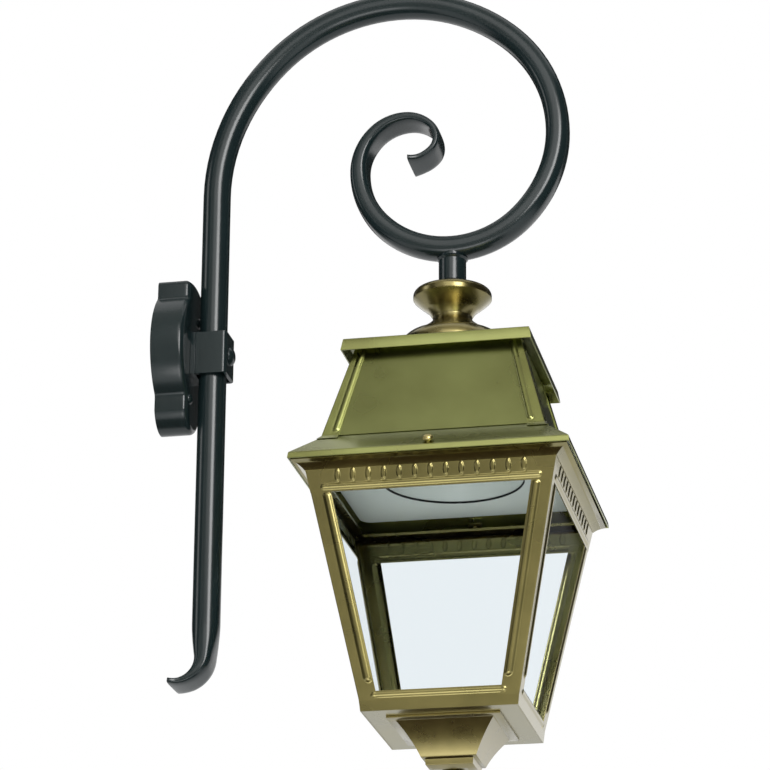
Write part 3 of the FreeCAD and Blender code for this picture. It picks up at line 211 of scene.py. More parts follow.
# %% Coatings
COATING_PATCH_MM = 60
PEEL_DEPTH = 0.2 * MM


def coating(name, dark, light, roughness, peel_mm=2.5, peel=0.05, metallic=0.0):
    """A paint, plastic or plating: a little colour variation, and orange peel as a bump."""
    material, output, place = new_material(name)
    cloud = add(material, "ShaderNodeTexNoise", {"Vector": place},
                Scale=1 / (COATING_PATCH_MM * MM), Detail=4.0)
    colour = blend_colours(material, cloud.outputs["Fac"], dark, light)
    peel_noise = add(material, "ShaderNodeTexNoise", {"Vector": place}, Scale=1 / (peel_mm * MM))
    bump = add(material, "ShaderNodeBump", {"Height": peel_noise.outputs["Fac"]},
               Strength=peel, Distance=PEEL_DEPTH)
    shader = add(material, "ShaderNodeBsdfPrincipled",
                 {"Base Color": colour, "Normal": bump.outputs["Normal"]},
                 Roughness=roughness, Metallic=metallic)
    material.node_tree.links.new(shader.outputs["BSDF"], output.inputs["Surface"])
    print(f"{name}: {dark} to {light}")
    return material


paint = coating("green_black_paint", "#101a1b", "#162223", 0.22, peel_mm=9, peel=0.015)
enamel = coating("white_enamel", "#d6dcd4", "#e2e7df", 0.3)
zinc = coating("zinc_plated_steel", "#9a9c9c", "#b4b6b6", 0.35, metallic=1.0)
phenolic = coating("moulded_phenolic", "#1c1b1a", "#262524", 0.45)
bulb_glass = coating("frosted_bulb_glass", "#e6e5e0", "#eeede8", 0.4)

# %% [markdown]
# ## Clear glass
# The panes are clear float glass, 3 mm thick. A refracting shader would bend the light twice
# for nothing here, so the pane lets light straight through with a slight tint and mirrors a
# little of what is in front of it.

# %% Clear glass
GLASS_TINT = "#f9fbfc"
GLASS_ROUGHNESS = 0.02
MIRROR_STRAIGHT, MIRROR_GRAZING = 0.001, 0.05


def clear_glass(name):
    """A thin pane. The share of its mirror grows with the fifth power of how slanting the
    look is, from a small share straight on to a larger one at a grazing look."""
    material, output, _ = new_material(name)
    mirror = add(material, "ShaderNodeBsdfGlossy", Roughness=GLASS_ROUGHNESS, Color=(1, 1, 1, 1))
    clear = add(material, "ShaderNodeBsdfTransparent", Color=linear(GLASS_TINT))
    slant = add(material, "ShaderNodeLayerWeight", Blend=0.5)
    steep = add(material, "ShaderNodeMath", {0: slant.outputs["Facing"]}, operation="POWER")
    steep.inputs[1].default_value = 5.0
    share = ramp(material, steep.outputs[0], 0, 1, MIRROR_STRAIGHT, MIRROR_GRAZING)
    mix = add(material, "ShaderNodeMixShader", {0: share, 1: clear.outputs[0],
                                                2: mirror.outputs[0]})
    material.node_tree.links.new(mix.outputs[0], output.inputs["Surface"])
    print(f"{name}: tint {GLASS_TINT}")
    return material


pane_glass = clear_glass("clear_float_glass")

# %% [markdown]
# ## Helpers for surfaces
# A new surface is a grid of points worked out with whole arrays, which is short to write and
# easy to change. Every grid here runs round something, so its last column is joined to its
# first. Points that fall together are merged afterwards, and every face is turned outwards.

# %% Grid surfaces
MERGE = 0.001 * MM


def smooth_shade(mesh, sharp_angle):
    """Shades a mesh smooth, apart from the edges that are sharper than the angle."""
    mesh.shade_smooth()
    mesh.set_sharp_from_angle(angle=math.radians(sharp_angle))


def link_piece(name, mesh):
    """Puts a mesh into the scene as an object at the origin."""
    piece = bpy.data.objects.new(name, mesh)
    bpy.context.scene.collection.objects.link(piece)
    return piece


def make_piece(name, points, faces, material, sharp_angle=35):
    """An object from points in metres, merged, turned outwards and shaded."""
    mesh = bpy.data.meshes.new(name)
    mesh.from_pydata(points, [], faces)
    bm = bmesh.new()
    bm.from_mesh(mesh)
    bmesh.ops.remove_doubles(bm, verts=bm.verts, dist=MERGE)
    bmesh.ops.recalc_face_normals(bm, faces=bm.faces)
    bm.to_mesh(mesh)
    bm.free()
    mesh.materials.append(material)
    smooth_shade(mesh, sharp_angle)
    return link_piece(name, mesh)


def ring_faces(rows, columns):
    """Quads between neighbouring rows of a grid whose points are numbered row by row, with
    the last column joined to the first."""
    row, column = np.meshgrid(np.arange(rows - 1), np.arange(columns), indexing="ij")
    after = (column + 1) % columns
    quads = np.stack([row * columns + column, row * columns + after,
                      (row + 1) * columns + after, (row + 1) * columns + column], axis=-1)
    return quads.reshape(-1, 4).tolist()


def place_piece(piece, nodes, body=FIXED_BODY):
    """Lets a piece ride on a body and stand for its nodes."""
    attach(piece, body)
    if nodes:
        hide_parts(*nodes)
    print(f"{piece.name}: {len(piece.data.polygons)} faces")


print("a grid of 3 rows and 4 columns has", len(ring_faces(3, 4)), "faces")

# %% [markdown]
# ## The arm's scroll
# The arm is one steel tube whose head winds into a scroll that thins towards the tip. It is
# wound over formers, so its curve is a row of arcs. Each arc here turns by 45 degrees
# with its own radius, and the next one goes on from its end in the same direction.

# %% The scroll's centre line
TUBE_AXIS_X = 60.0
TUBE_RADIUS = 15.97
SCROLL_START = 200.5
ARC_BEND, ARC_STEPS = 45, 14
FIRST_ARC_RADIUS = 240
SCROLL_RADII = FIRST_ARC_RADIUS * np.array([1, 0.843, 0.827, 0.709, 0.614, 0.475, 0.466,
                                            0.417, 0.265, 0.22, 0.173, 0.104, 0.0875, 0.153])


def arcs(start, radii, bend, steps):
    """Points and outward normals along arcs that follow each other with one tangent. The
    angle grows by the bend on each arc, and the centre lies one radius inside the point."""
    point = np.array(start, float)
    points, normals = [], []
    for number, radius in enumerate(radii):
        first = math.radians(bend * number)
        angle = first + math.radians(bend) * np.arange(steps) / steps
        normal = np.stack([-np.cos(angle), np.sin(angle)], axis=1)
        centre = point - radius * normal[0]
        last = first + math.radians(bend)
        last_normal = np.array([-math.cos(last), math.sin(last)])
        point = centre + radius * last_normal
        points.append(centre + radius * normal)
        normals.append(normal)
    points.append(point[None])
    normals.append(last_normal[None])
    return np.concatenate(points), np.concatenate(normals)


scroll, scroll_out = arcs((TUBE_AXIS_X, SCROLL_START), SCROLL_RADII, ARC_BEND, ARC_STEPS)
print("scroll tip at", np.round(scroll[-1], 1), "highest", round(scroll[:, 1].max(), 1))

# %% [markdown]
# ## The arm's foot and upright
# Below its straight upright the tube is pressed flat and curled back towards the wall like a
# fishtail. The foot is one more arc, run from its tip up to the upright, so that the whole
# centre line goes from the foot to the scroll's tip.

# %% The foot and the upright
FOOT_START = -356.0
FOOT_RADIUS = 31.0
FOOT_TURN = 99.0
FOOT_POINTS = 31
PRESS_LENGTH, PRESS_POINTS = 36.0, 12
UPRIGHT_POINTS = 36

foot_angle = np.radians(FOOT_TURN) * np.linspace(1, 0, FOOT_POINTS)
foot_away = np.stack([np.cos(foot_angle), -np.sin(foot_angle)], axis=1)
foot = np.array([TUBE_AXIS_X - FOOT_RADIUS, FOOT_START]) + FOOT_RADIUS * foot_away

press_end = FOOT_START + PRESS_LENGTH
upright_z = np.concatenate([np.linspace(FOOT_START, press_end, PRESS_POINTS)[1:],
                            np.linspace(press_end, SCROLL_START, UPRIGHT_POINTS)[1:-1]])
upright = np.stack([np.full_like(upright_z, TUBE_AXIS_X), upright_z], axis=1)
upright_out = np.tile([-1.0, 0.0], (len(upright_z), 1))

arm_line = np.concatenate([foot, upright, scroll])
arm_out = np.concatenate([-foot_away, upright_out, scroll_out])
print(f"foot tip at {np.round(foot[0], 1)}, upright {SCROLL_START - FOOT_START:.1f} mm long")

# %% [markdown]
# ## The arm's thickness
# The half thickness is given as shares of the tube's radius: one for each end of an arc of
# the scroll, and six along the foot. The press starts on the upright, and from there on the
# half thickness falls to the first share of the foot.

# %% Half thickness along the arm
SCROLL_HALF = TUBE_RADIUS * np.array([1, 0.975, 0.95, 0.9, 0.845, 0.845, 0.845, 0.785,
                                      0.655, 0.5, 0.39, 0.31, 0.28, 0.255, 0.24])
FOOT_HALF = TUBE_RADIUS * np.array([0.7, 0.6, 0.47, 0.35, 0.27, 0.22])
PRESS_POWER = 1.5


def along_list(numbers, places):
    """Reads a list of numbers at places counted in steps of the list, in straight lines."""
    return np.interp(places, np.arange(len(numbers)), numbers)


foot_half = along_list(FOOT_HALF, np.linspace(len(FOOT_HALF) - 1, 0, FOOT_POINTS))
pressed = np.clip((press_end - upright_z) / PRESS_LENGTH, 0, 1)
upright_half = TUBE_RADIUS + (FOOT_HALF[0] - TUBE_RADIUS) * pressed ** PRESS_POWER
scroll_half = along_list(SCROLL_HALF, np.arange(len(scroll)) / ARC_STEPS)
arm_half = np.concatenate([foot_half, upright_half, scroll_half])
print(f"half thickness {arm_half[0]:.1f} mm at the foot, {arm_half.max():.1f} mm at most, "
      f"{arm_half[-1]:.1f} mm at the scroll's tip")

# %% [markdown]
# ## The arm's surface
# A pressed tube keeps the length of its outline, so it grows wider as it gets thinner. The
# last stretch at each end flares a little more. The section turns from a circle into a soft
# rectangle where it is pressed.

# %% The arm
AROUND = 56
FLARE_ROWS, FLARE_SHARE = 8, 0.2
SQUARENESS = 2.5


def tube(name, line, out, half, material):
    """A tube along a line in the X-Z plane. Round the tube, a point is half a thickness
    along the outward normal times cos t, and half a width along Y times sin t; both are
    raised to a power below one where the tube is pressed, which squares the section. The
    half width is the half thickness plus half pi times what the press took off it."""
    width = half + math.pi / 2 * (TUBE_RADIUS - half)
    from_end = np.minimum(np.arange(len(half)), np.arange(len(half))[::-1])
    width = width * (1 + FLARE_SHARE * np.clip(1 - from_end / FLARE_ROWS, 0, 1) ** 2)
    power = 2 / (2 + SQUARENESS * (1 - half / width))
    t = 2 * math.pi * np.arange(AROUND) / AROUND
    reach = np.sign(np.cos(t)) * np.abs(np.cos(t)) ** power[:, None] * half[:, None]
    across = np.sign(np.sin(t)) * np.abs(np.sin(t)) ** power[:, None] * width[:, None]
    x = line[:, :1] + out[:, :1] * reach
    z = line[:, 1:] + out[:, 1:] * reach
    points = np.stack([x, across, z], axis=-1).reshape(-1, 3) * MM
    faces = ring_faces(len(line), AROUND)
    last_row = (len(line) - 1) * AROUND
    faces += [list(range(AROUND))[::-1], list(range(last_row, last_row + AROUND))]
    return make_piece(name, points.tolist(), faces, material)


arm = tube("arm", arm_line, arm_out, arm_half, paint)
place_piece(arm, ["arm_tube"])

# %% [markdown]
# ## Plain pieces
# Cast, turned and folded pieces keep the construction's surface. Its triangles don't share
# corners, so each copy is merged, its soft curves are shaded smooth and its folds stay sharp.
# Some get a narrow rounding there too, which catches the light as a real fold does.

# %% Dressed copies
COPY_MERGE = 0.002 * MM
FLAT_ANGLE, FOLD_ANGLE = 1, 28


def dressed(node, material, round_mm=0.0, body=FIXED_BODY):
    """A merged copy of a node's mesh. Triangles in one plane become one face, and a bevel
    rounds the folds."""
    mesh = frame["nodes"][node].data.copy()
    bm = bmesh.new()
    bm.from_mesh(mesh)
    bmesh.ops.remove_doubles(bm, verts=bm.verts, dist=COPY_MERGE)
    bmesh.ops.dissolve_limit(bm, angle_limit=math.radians(FLAT_ANGLE), verts=bm.verts,
                             edges=bm.edges)
    bm.to_mesh(mesh)
    bm.free()
    mesh.materials.clear()
    mesh.materials.append(material)
    smooth_shade(mesh, FOLD_ANGLE)
    piece = link_piece("dressed_" + node, mesh)
    if round_mm:
        bevel = piece.modifiers.new("rounding", "BEVEL")
        bevel.width = round_mm * MM
        bevel.segments = 2
        bevel.limit_method = "ANGLE"
        bevel.angle_limit = math.radians(FOLD_ANGLE)
    place_piece(piece, [node], body)


for node in ("wall_plate", "clamp_bolt", "cover_screws"):
    dressed(node, paint, round_mm=0.4)
for node in ("clamp_base", "clamp_strap"):
    dressed(node, paint, round_mm=0.9)
for node in ("hanger_stem", "weld_bead"):
    dressed(node, paint)
for node in ("mounting_strap", "strap_pillars", "clamp_nut", "tie_stud", "stud_nut",
             "hanger_nipple", "nipple_nut"):
    dressed(node, zinc)
for node in ("crown_lid", "crown_bowl", "crown_gallery", "finial"):
    dressed(node, brass_cast)
for node in ("tray", "cage_lug_back", "cage_lug_front"):
    dressed(node, brass, round_mm=0.3)
for side in SIDES:
    dressed("chimney_panel_" + side, brass_green)
for node in ("reflector_plate", "reflector_dome"):
    dressed(node, enamel, round_mm=0.3)
dressed("lampholder", phenolic, round_mm=0.3)
dressed("lamp", bulb_glass, body="bulb")

# %% [markdown]
# ## Profiles
# The cap, the roof, the cove, the frieze, the rail and the pendant are profiles carried round
# a square. A profile is a closed loop of half width and height. Folds that show are rounded,
# because bent sheet has no knife edges, and hollows are drawn as one curve through three
# points. Both use the same simple curve.

# %% Curves of a profile


def quadratic(start, handle, end, s):
    """(1-s) squared times the start, plus 2s(1-s) times the handle, plus s squared times the
    end, for s from 0 to 1."""
    return (1 - s) ** 2 * start + 2 * s * (1 - s) * handle + s ** 2 * end


def rounded(corners, radius, steps=4):
    """A closed profile whose corners are replaced by short curves. A curve starts and ends
    one radius from its corner, or 0.4 of the side where that is shorter, and has the corner
    as its handle."""
    corners = np.array(corners, float)
    before = np.roll(corners, 1, axis=0) - corners
    after = np.roll(corners, -1, axis=0) - corners
    long_before = np.linalg.norm(before, axis=1, keepdims=True)
    long_after = np.linalg.norm(after, axis=1, keepdims=True)
    start = corners + before / long_before * np.minimum(radius, 0.4 * long_before)
    end = corners + after / long_after * np.minimum(radius, 0.4 * long_after)
    s = np.linspace(0, 1, steps)[None, :, None]
    return quadratic(start[:, None], corners[:, None], end[:, None], s).reshape(-1, 2)


def hollow_curve(start, way, end, steps=9):
    """Points on the curve that passes through the way point half-way along. Its handle is
    twice the way point less the middle of start and end."""
    start, way, end = np.array(start), np.array(way), np.array(end)
    handle = 2 * way - (start + end) / 2
    return quadratic(start, handle, end, np.linspace(0, 1, steps)[:, None]).tolist()


print("a rounded square has", len(rounded([(0, 0), (9, 0), (9, 9), (0, 9)], 1)), "points")

# %% [markdown]
# ## Mouldings
# Sheet is folded along each side of the square and mitred at the corners. One side is worked
# out, and the other three are the same points turned by quarter turns. A side can carry a
# relief, which is how pressed ovals and beads are made.

# %% Mouldings
SHEET = 1.5
FOLDED_SHARP, HOLLOW_SHARP, PRESSED_SHARP = 50, 40, 60


def square_ring(name, profile, material, sharp_angle, columns=1, relief=None, shares=None):
    """Carries a closed profile round a square. On one side, a point lies at the half width
    outwards and at a share of it along the side, from -1 to 1. Relief is an outward height
    in mm at a place along the side and a height above the eave, and the shares say how much
    of it each point of the profile takes."""
    half, height = np.array(profile, float).T
    along = half[:, None] * np.linspace(-1, 1, columns + 1)[:-1]
    out = np.repeat(half[:, None], columns, axis=1)
    up = np.repeat(height[:, None], columns, axis=1)
    if relief is not None:
        out = out + shares[:, None] * relief(along, up)
    x = np.concatenate([out, -along, -out, along], axis=1)
    y = np.concatenate([along, out, -along, -out], axis=1)
    z = np.concatenate([up] * 4, axis=1)
    points = np.stack([AXIS_X + x, y, EAVE_Z + z], axis=-1) * MM
    points = np.concatenate([points, points[:1]]).reshape(-1, 3)
    faces = ring_faces(len(half) + 1, 4 * columns)
    return make_piece(name, points.tolist(), faces, material, sharp_angle)


print(f"the mouldings are of {SHEET} mm sheet")

# %% [markdown]
# ## The cap
# The cap is a shallow pyramid with a turned-down skirt. It closes the chimney and leaves a
# hole in the middle for the stud that holds cap and crown together.

# %% The cap
DECK_HEIGHT = 168.0
CHIMNEY_HEAD_HALF = 90.0
CAP_HOLE_HALF, CAP_FLAT_HALF = 8, 63
CAP_FALL, CAP_OVERHANG = 15, 14
CAP_SKIRT, CAP_SKIRT_LEAN = 14, 2.5
CAP_FOLD = 0.9

cap_edge, cap_half = DECK_HEIGHT - CAP_FALL, CHIMNEY_HEAD_HALF + CAP_OVERHANG
skirt_half, skirt_foot = cap_half + CAP_SKIRT_LEAN, cap_edge - CAP_SKIRT
cap_profile = [(CAP_HOLE_HALF, DECK_HEIGHT), (CAP_FLAT_HALF, DECK_HEIGHT), (cap_half, cap_edge),
               (skirt_half, skirt_foot), (skirt_half - SHEET, skirt_foot),
               (cap_half - SHEET, cap_edge - SHEET), (CAP_FLAT_HALF, DECK_HEIGHT - SHEET),
               (CAP_HOLE_HALF, DECK_HEIGHT - SHEET)]
cap = square_ring("cap", rounded(cap_profile, CAP_FOLD), brass_roof, FOLDED_SHARP)
place_piece(cap, ["chimney_cap"])

# %% [markdown]
# ## The roof
# The roof slopes down to a rim that leans in a little. At its inner edge the sheet is turned
# up inside the chimney, and the upstand leans as the chimney does.

# %% The roof
ROOF_SLOPE = math.tan(math.radians(39.3))
RIM_HEIGHT, RIM_LEAN = 7.0, 0.9
CHIMNEY_INSET, CHIMNEY_RISE = 30.6, 121.8
UPSTAND, UPSTAND_INSET = 12, 2.7
ROOF_FOLD = 1.1


def roof_height(half):
    """Height of the roof's upper face above the eave at a half width."""
    return RIM_HEIGHT + (ROOF_HALF - half) * ROOF_SLOPE


chimney_foot_half = ROOF_HALF - CHIMNEY_INSET
inside_half = chimney_foot_half - UPSTAND_INSET
drop = SHEET / math.cos(math.atan(ROOF_SLOPE))
upstand_top = roof_height(inside_half) + UPSTAND
lean_in = UPSTAND * (chimney_foot_half - CHIMNEY_HEAD_HALF) / CHIMNEY_RISE
roof_profile = [(inside_half - lean_in, upstand_top), (inside_half, roof_height(inside_half)),
                (ROOF_HALF - RIM_LEAN, RIM_HEIGHT), (ROOF_HALF, 0), (ROOF_HALF - SHEET, 0),
                (ROOF_HALF - SHEET - RIM_LEAN, roof_height(ROOF_HALF - SHEET) - drop),
                (inside_half - SHEET, roof_height(inside_half - SHEET) - drop),
                (inside_half - lean_in - SHEET, upstand_top)]
roof = square_ring("roof", rounded(roof_profile, ROOF_FOLD), brass_roof, FOLDED_SHARP)
place_piece(roof, ["roof_skirt"])

# %% [markdown]
# ## The cove
# Under the rim a hollow moulding leads in to the frieze. Its outside and its inside are two
# curves that draw together towards the foot, and a flat flange at the top closes it against
# the roof. The top stands a little above the eave, so that no light shows under the rim.

# %% The cove
COVE_INSET, COVE_FLANGE = 3.1, 22.5
COVE_TOP, COVE_EDGE, COVE_GAP = 0.9, -0.8, 0.6
COVE_FOOT_OUT, COVE_FOOT_IN = 0.6, 0.9
FRIEZE_TOP, FRIEZE_INSET = -9.6, 16.6

cove_half, frieze_half = ROOF_HALF - COVE_INSET, ROOF_HALF - FRIEZE_INSET
cove_foot = -COVE_GAP - SHEET


def cove_way(inward_share, fall_share):
    """A point of the cove at shares of its reach, counted from the frieze, and of its fall."""
    reach, fall = cove_half - frieze_half, cove_foot - FRIEZE_TOP
    return (frieze_half + inward_share * reach, cove_foot - fall_share * fall)


outer_curve = hollow_curve((cove_half, COVE_EDGE), cove_way(0.46, 0.333),
                           (frieze_half + COVE_FOOT_OUT, FRIEZE_TOP))
inner_curve = hollow_curve((frieze_half - COVE_FOOT_IN, FRIEZE_TOP),
                           cove_way(0.296, 0.347), (cove_half - 2 * SHEET, cove_foot))
cove_profile = ([(cove_half - COVE_FLANGE, COVE_TOP), (cove_half, COVE_TOP)]
                + outer_curve + inner_curve + [(cove_half - COVE_FLANGE, cove_foot)])
cove = square_ring("cove_moulding", cove_profile, brass, HOLLOW_SHARP)
place_piece(cove, ["cove"])

# %% [markdown]
# ## Pressed sheet
# The frieze, the rail, the posts and the chimney's corner strips have beads pressed into
# them. A bead is a low ridge with soft sides along a straight line. Its ends are round,
# because its height depends on the distance to the line, and past an end that is the distance
# to the end's point. A shallow groove runs beside it, where the punch pulled the sheet in.

# %% Bead heights
BEAD_RISE = 0.38
GROOVE_DEPTH, GROOVE_PLACE, GROOVE_WIDTH = 0.1, 1.1, 0.25


def bead(across, beyond, radius):
    """Height of a bead: its rise times its radius times (1 minus the square of the distance
    in radii) to the power 1.3, less a groove a little outside one radius. Across is the
    distance from its line and beyond the distance past its end."""
    distance = np.hypot(across, np.maximum(beyond, 0)) / radius
    ridge = BEAD_RISE * radius * np.clip(1 - distance ** 2, 0, 1) ** 1.3
    groove = np.exp(-((distance - GROOVE_PLACE) / GROOVE_WIDTH) ** 2)
    return ridge - GROOVE_DEPTH * groove


print(f"a bead of radius 4 mm stands {bead(0, 0, 4.0):.2f} mm high")

# %% [markdown]
# ## The frieze
# The frieze is a band with thirteen upright ovals over one bead, on each side. The ovals are
# pressed with steep sides and nearly flat tops. Their outline and the bead's come from the
# mesh itself, so it needs a point about every 0.7 mm along the band.

# %% Frieze sizes
CAGE_DEPTH = 266.5
RAIL_FOOT_HALF, RAIL_TOP, RAIL_LEAN = 85.2, -245.2, 2.5
FRIEZE_TALL, FRIEZE_WALL = 24.1, 1.3
FRIEZE_ROWS, FRIEZE_COLUMNS = 30, 390
FRIEZE_BEAD_RADIUS, FRIEZE_BEAD_HEIGHT, FRIEZE_BEAD_INSET = 3.6, 5.6, 14.6
OVAL_COUNT, OVAL_INSET = 13, 15.6
OVAL_HALF_WIDTH, OVAL_HALF_HEIGHT, OVAL_MIDDLE = 2.7, 6.7, 17
OVAL_RISE = 1.1
DIMPLE_DEPTH, DIMPLE_PLACE, DIMPLE_WIDTH = 0.25, 1.25, 0.15

frieze_foot = FRIEZE_TOP - FRIEZE_TALL
cage_lean = (frieze_half - (RAIL_FOOT_HALF + RAIL_LEAN)) / (FRIEZE_TOP - RAIL_TOP)
frieze_foot_half = frieze_half - cage_lean * FRIEZE_TALL
bead_reach = frieze_foot_half - FRIEZE_BEAD_INSET
oval_pitch = 2 * (bead_reach - OVAL_INSET) / (OVAL_COUNT - 1)
print(f"frieze {2 * frieze_half:.1f} mm wide at its top, ovals {oval_pitch:.2f} mm apart")

# %% [markdown]
# The band is a closed profile: up the outside and down the inside, one sheet apart. The relief
# is pressed through both, and only the rows at its upper and lower edge stay flat.

# %% The frieze


def frieze_relief(along, up):
    """Ovals over a bead. An oval's height is its rise times the square root of 1 minus the
    sixth power of the distance in half widths, less a dimple round it."""
    nearest = np.clip(np.round(along / oval_pitch), -(OVAL_COUNT // 2), OVAL_COUNT // 2)
    x = (along - nearest * oval_pitch) / OVAL_HALF_WIDTH
    y = (up - (frieze_foot + OVAL_MIDDLE)) / OVAL_HALF_HEIGHT
    oval = np.hypot(x, y)
    height = OVAL_RISE * np.sqrt(np.clip(1 - oval ** 6, 0, 1))
    height -= DIMPLE_DEPTH * np.exp(-((oval - DIMPLE_PLACE) / DIMPLE_WIDTH) ** 2)
    line = up - (frieze_foot + FRIEZE_BEAD_HEIGHT)
    return height + bead(line, np.abs(along) - bead_reach, FRIEZE_BEAD_RADIUS)


rows = np.linspace(frieze_foot, FRIEZE_TOP, FRIEZE_ROWS)
frieze_profile = [(frieze_foot_half + cage_lean * (row - frieze_foot), row) for row in rows]
frieze_profile += [(half - FRIEZE_WALL, height) for half, height in frieze_profile[::-1]]
shares = np.ones(2 * FRIEZE_ROWS)
shares[[0, FRIEZE_ROWS - 1, FRIEZE_ROWS, -1]] = 0
frieze = square_ring("frieze_band", frieze_profile, brass, PRESSED_SHARP, FRIEZE_COLUMNS,
                     frieze_relief, shares)
place_piece(frieze, ["frieze"])

# %% [markdown]
# ## The rail
# The bottom rail is the lowest band of the cage. Its bead runs near the upper edge and ends
# in a blob on each side. Only the outside is pressed here, because the inside hardly shows.

# %% The rail
RAIL_WALL, RAIL_ROWS, RAIL_COLUMNS = 1.2, 26, 170
RAIL_BEAD_RADIUS, RAIL_BEAD_DROP, RAIL_BEAD_INSET = 3.9, 4, 15.2
BLOB_RADIUS = 4.6

rail_slope = RAIL_LEAN / (RAIL_TOP + CAGE_DEPTH)
rail_reach = RAIL_FOOT_HALF - RAIL_BEAD_INSET


def rail_relief(along, up):
    """A bead that ends in a wider blob on each side."""
    past = np.abs(along) - rail_reach
    line = up - (RAIL_TOP - RAIL_BEAD_DROP)
    blob = np.where(np.abs(past) < BLOB_RADIUS, bead(line, np.abs(past), BLOB_RADIUS), 0)
    return np.maximum(bead(line, past, RAIL_BEAD_RADIUS), blob)


rows = np.linspace(-CAGE_DEPTH, RAIL_TOP, RAIL_ROWS)
rail_profile = [(RAIL_FOOT_HALF + rail_slope * (row + CAGE_DEPTH), row) for row in rows]
rail_profile += [(half - RAIL_WALL, height) for half, height in (rail_profile[-1], rail_profile[0])]
shares = np.repeat([1, 0], [RAIL_ROWS, 2])
rail = square_ring("rail_band", rail_profile, brass, PRESSED_SHARP, RAIL_COLUMNS,
                   rail_relief, shares)
place_piece(rail, ["bottom_rail"])

# %% [markdown]
# ## Corner strips
# A post and a chimney strip are angles: the sheet runs from one free edge to the fold at the
# corner and on to the other free edge. The grid has one row for each height and one column
# for each place along that path, on the outside and again, backwards, on the inside.

# %% The sheet of a strip
FLANGE_COLUMNS, FOLD_COLUMNS = 30, 5
FOLD_DEPTH, FOLD_REACH = 0.25, 0.03
FLANGE_START, FLAT_SHARE = 0.04, 0.05
BEAD_FROM_EDGE = 1.15
COARSE_ROWS, FINE_ROWS, FINE_REACH = 16, 17, 6

flange_places = np.linspace(FLANGE_START, 1, FLANGE_COLUMNS)
fold_places = np.linspace(-FOLD_REACH, FOLD_REACH, FOLD_COLUMNS)


def angle_sheet(rows, bead_ends, bead_radius, wall):
    """Points of an angle strip at the corner where x and y are both outwards. Rows hold
    height, half width and flange width. A place along the sheet runs from -1 at one free
    edge through 0 at the fold to 1 at the other. The outside stands out by the bead's height
    along its own face's normal, and the fold is drawn in to make it round."""
    height, half, flange = (column[:, None] for column in np.array(rows, float).T)
    place = np.concatenate([-flange_places[::-1], fold_places, flange_places])[None, :]
    from_edge = (1 - np.abs(place)) * flange
    low, high = bead_ends
    beyond = np.maximum(low - height, height - high)
    rise = bead(from_edge - BEAD_FROM_EDGE * bead_radius, beyond, bead_radius)
    rise = np.where(np.abs(place) < FLAT_SHARE, 0, rise)
    fold = FOLD_DEPTH * np.exp(-(place / FOLD_REACH) ** 2)
    first = place < 0
    x = np.where(first, half + rise, half - place * flange) - fold
    y = np.where(first, half + place * flange, half + rise) - fold
    inside = half - wall
    inner_x = np.where(first, inside + rise, np.minimum(half - place * flange, inside))
    inner_y = np.where(first, np.minimum(half + place * flange, inside), inside + rise)
    z = np.repeat(height, place.shape[1], axis=1)
    front = np.stack([x, y, z], axis=-1)
    back = np.stack([inner_x, inner_y, z], axis=-1)[:, ::-1]
    return np.concatenate([front, back], axis=1)


def rows_between(low, high, bead_ends):
    """Heights of the rows: coarse along the strip and fine where a bead ends."""
    parts = [np.linspace(low, high, COARSE_ROWS)]
    parts += [np.linspace(end - FINE_REACH, end + FINE_REACH, FINE_ROWS) for end in bead_ends]
    heights = np.unique(np.round(np.concatenate(parts), 3))
    return heights[(heights >= low) & (heights <= high)]


def strip_rows(heights, knots, halves, flanges):
    """Height, half width and flange width of each row, in straight lines between knots."""
    return np.stack([heights, np.interp(heights, knots, halves),
                     np.interp(heights, knots, flanges)], axis=1)


print("columns across a strip:", 2 * FLANGE_COLUMNS + FOLD_COLUMNS)

# %% [markdown]
# ## The posts
# The posts stand nearly flush with the rail and the frieze and lean with the cage. A bead
# runs along each free edge, so that from outside a pane has one at its left and one at its
# right. All four strips of a kind are the same sheet turned about the lantern's axis. Quads
# close it at its lower and upper end, between the outside and the inside.

# %% The posts
QUARTER_TURN = np.array([[0, -1], [1, 0]])
STRIP_SHARP_ANGLE = 45
POST_WALL, POST_BEAD_RADIUS = 1.05, 4.9
POST_FOOT_RISE, POST_HEAD_DROP = 1.8, 1.4
POST_BEAD_FOOT, POST_BEAD_HEAD = 13.2, 4.6
POST_HALVES = [RAIL_FOOT_HALF - 0.6, frieze_half - 0.5]
POST_FLANGES = [20.4, 23.2]


def corner_strips(name, node, sheet, material):
    """Places a sheet at the four corners, each a quarter turn further than the last."""
    count, around = sheet.shape[:2]
    faces = ring_faces(count, around)
    outside = np.arange(around // 2 - 1)
    inside = around - 1 - outside
    for base in (0, (count - 1) * around):
        quads = np.stack([outside, outside + 1, inside - 1, inside], axis=1) + base
        faces += quads.tolist()
    for quarter, corner in enumerate(CORNERS):
        turned = sheet.copy()
        turned[..., :2] = turned[..., :2] @ np.linalg.matrix_power(QUARTER_TURN, quarter).T
        points = (turned + np.array([AXIS_X, 0, EAVE_Z])) * MM
        piece = make_piece(name + corner, points.reshape(-1, 3).tolist(), faces, material,
                           STRIP_SHARP_ANGLE)
        place_piece(piece, [node + corner])


post_foot, post_head = POST_FOOT_RISE - CAGE_DEPTH, FRIEZE_TOP - POST_HEAD_DROP
post_bead = (RAIL_TOP + POST_BEAD_FOOT, frieze_foot - POST_BEAD_HEAD)
heights = rows_between(post_foot, post_head, post_bead)
post_rows = strip_rows(heights, [post_foot, post_head], POST_HALVES, POST_FLANGES)
post_sheet = angle_sheet(post_rows, post_bead, POST_BEAD_RADIUS, POST_WALL)
corner_strips("post_sheet_", "post_", post_sheet, brass)

# %% [markdown]
# ## Chimney strips
# The chimney's strips are made in the same way. Each is narrower, leans more and ends below
# in a toe that spreads outwards on to the roof.

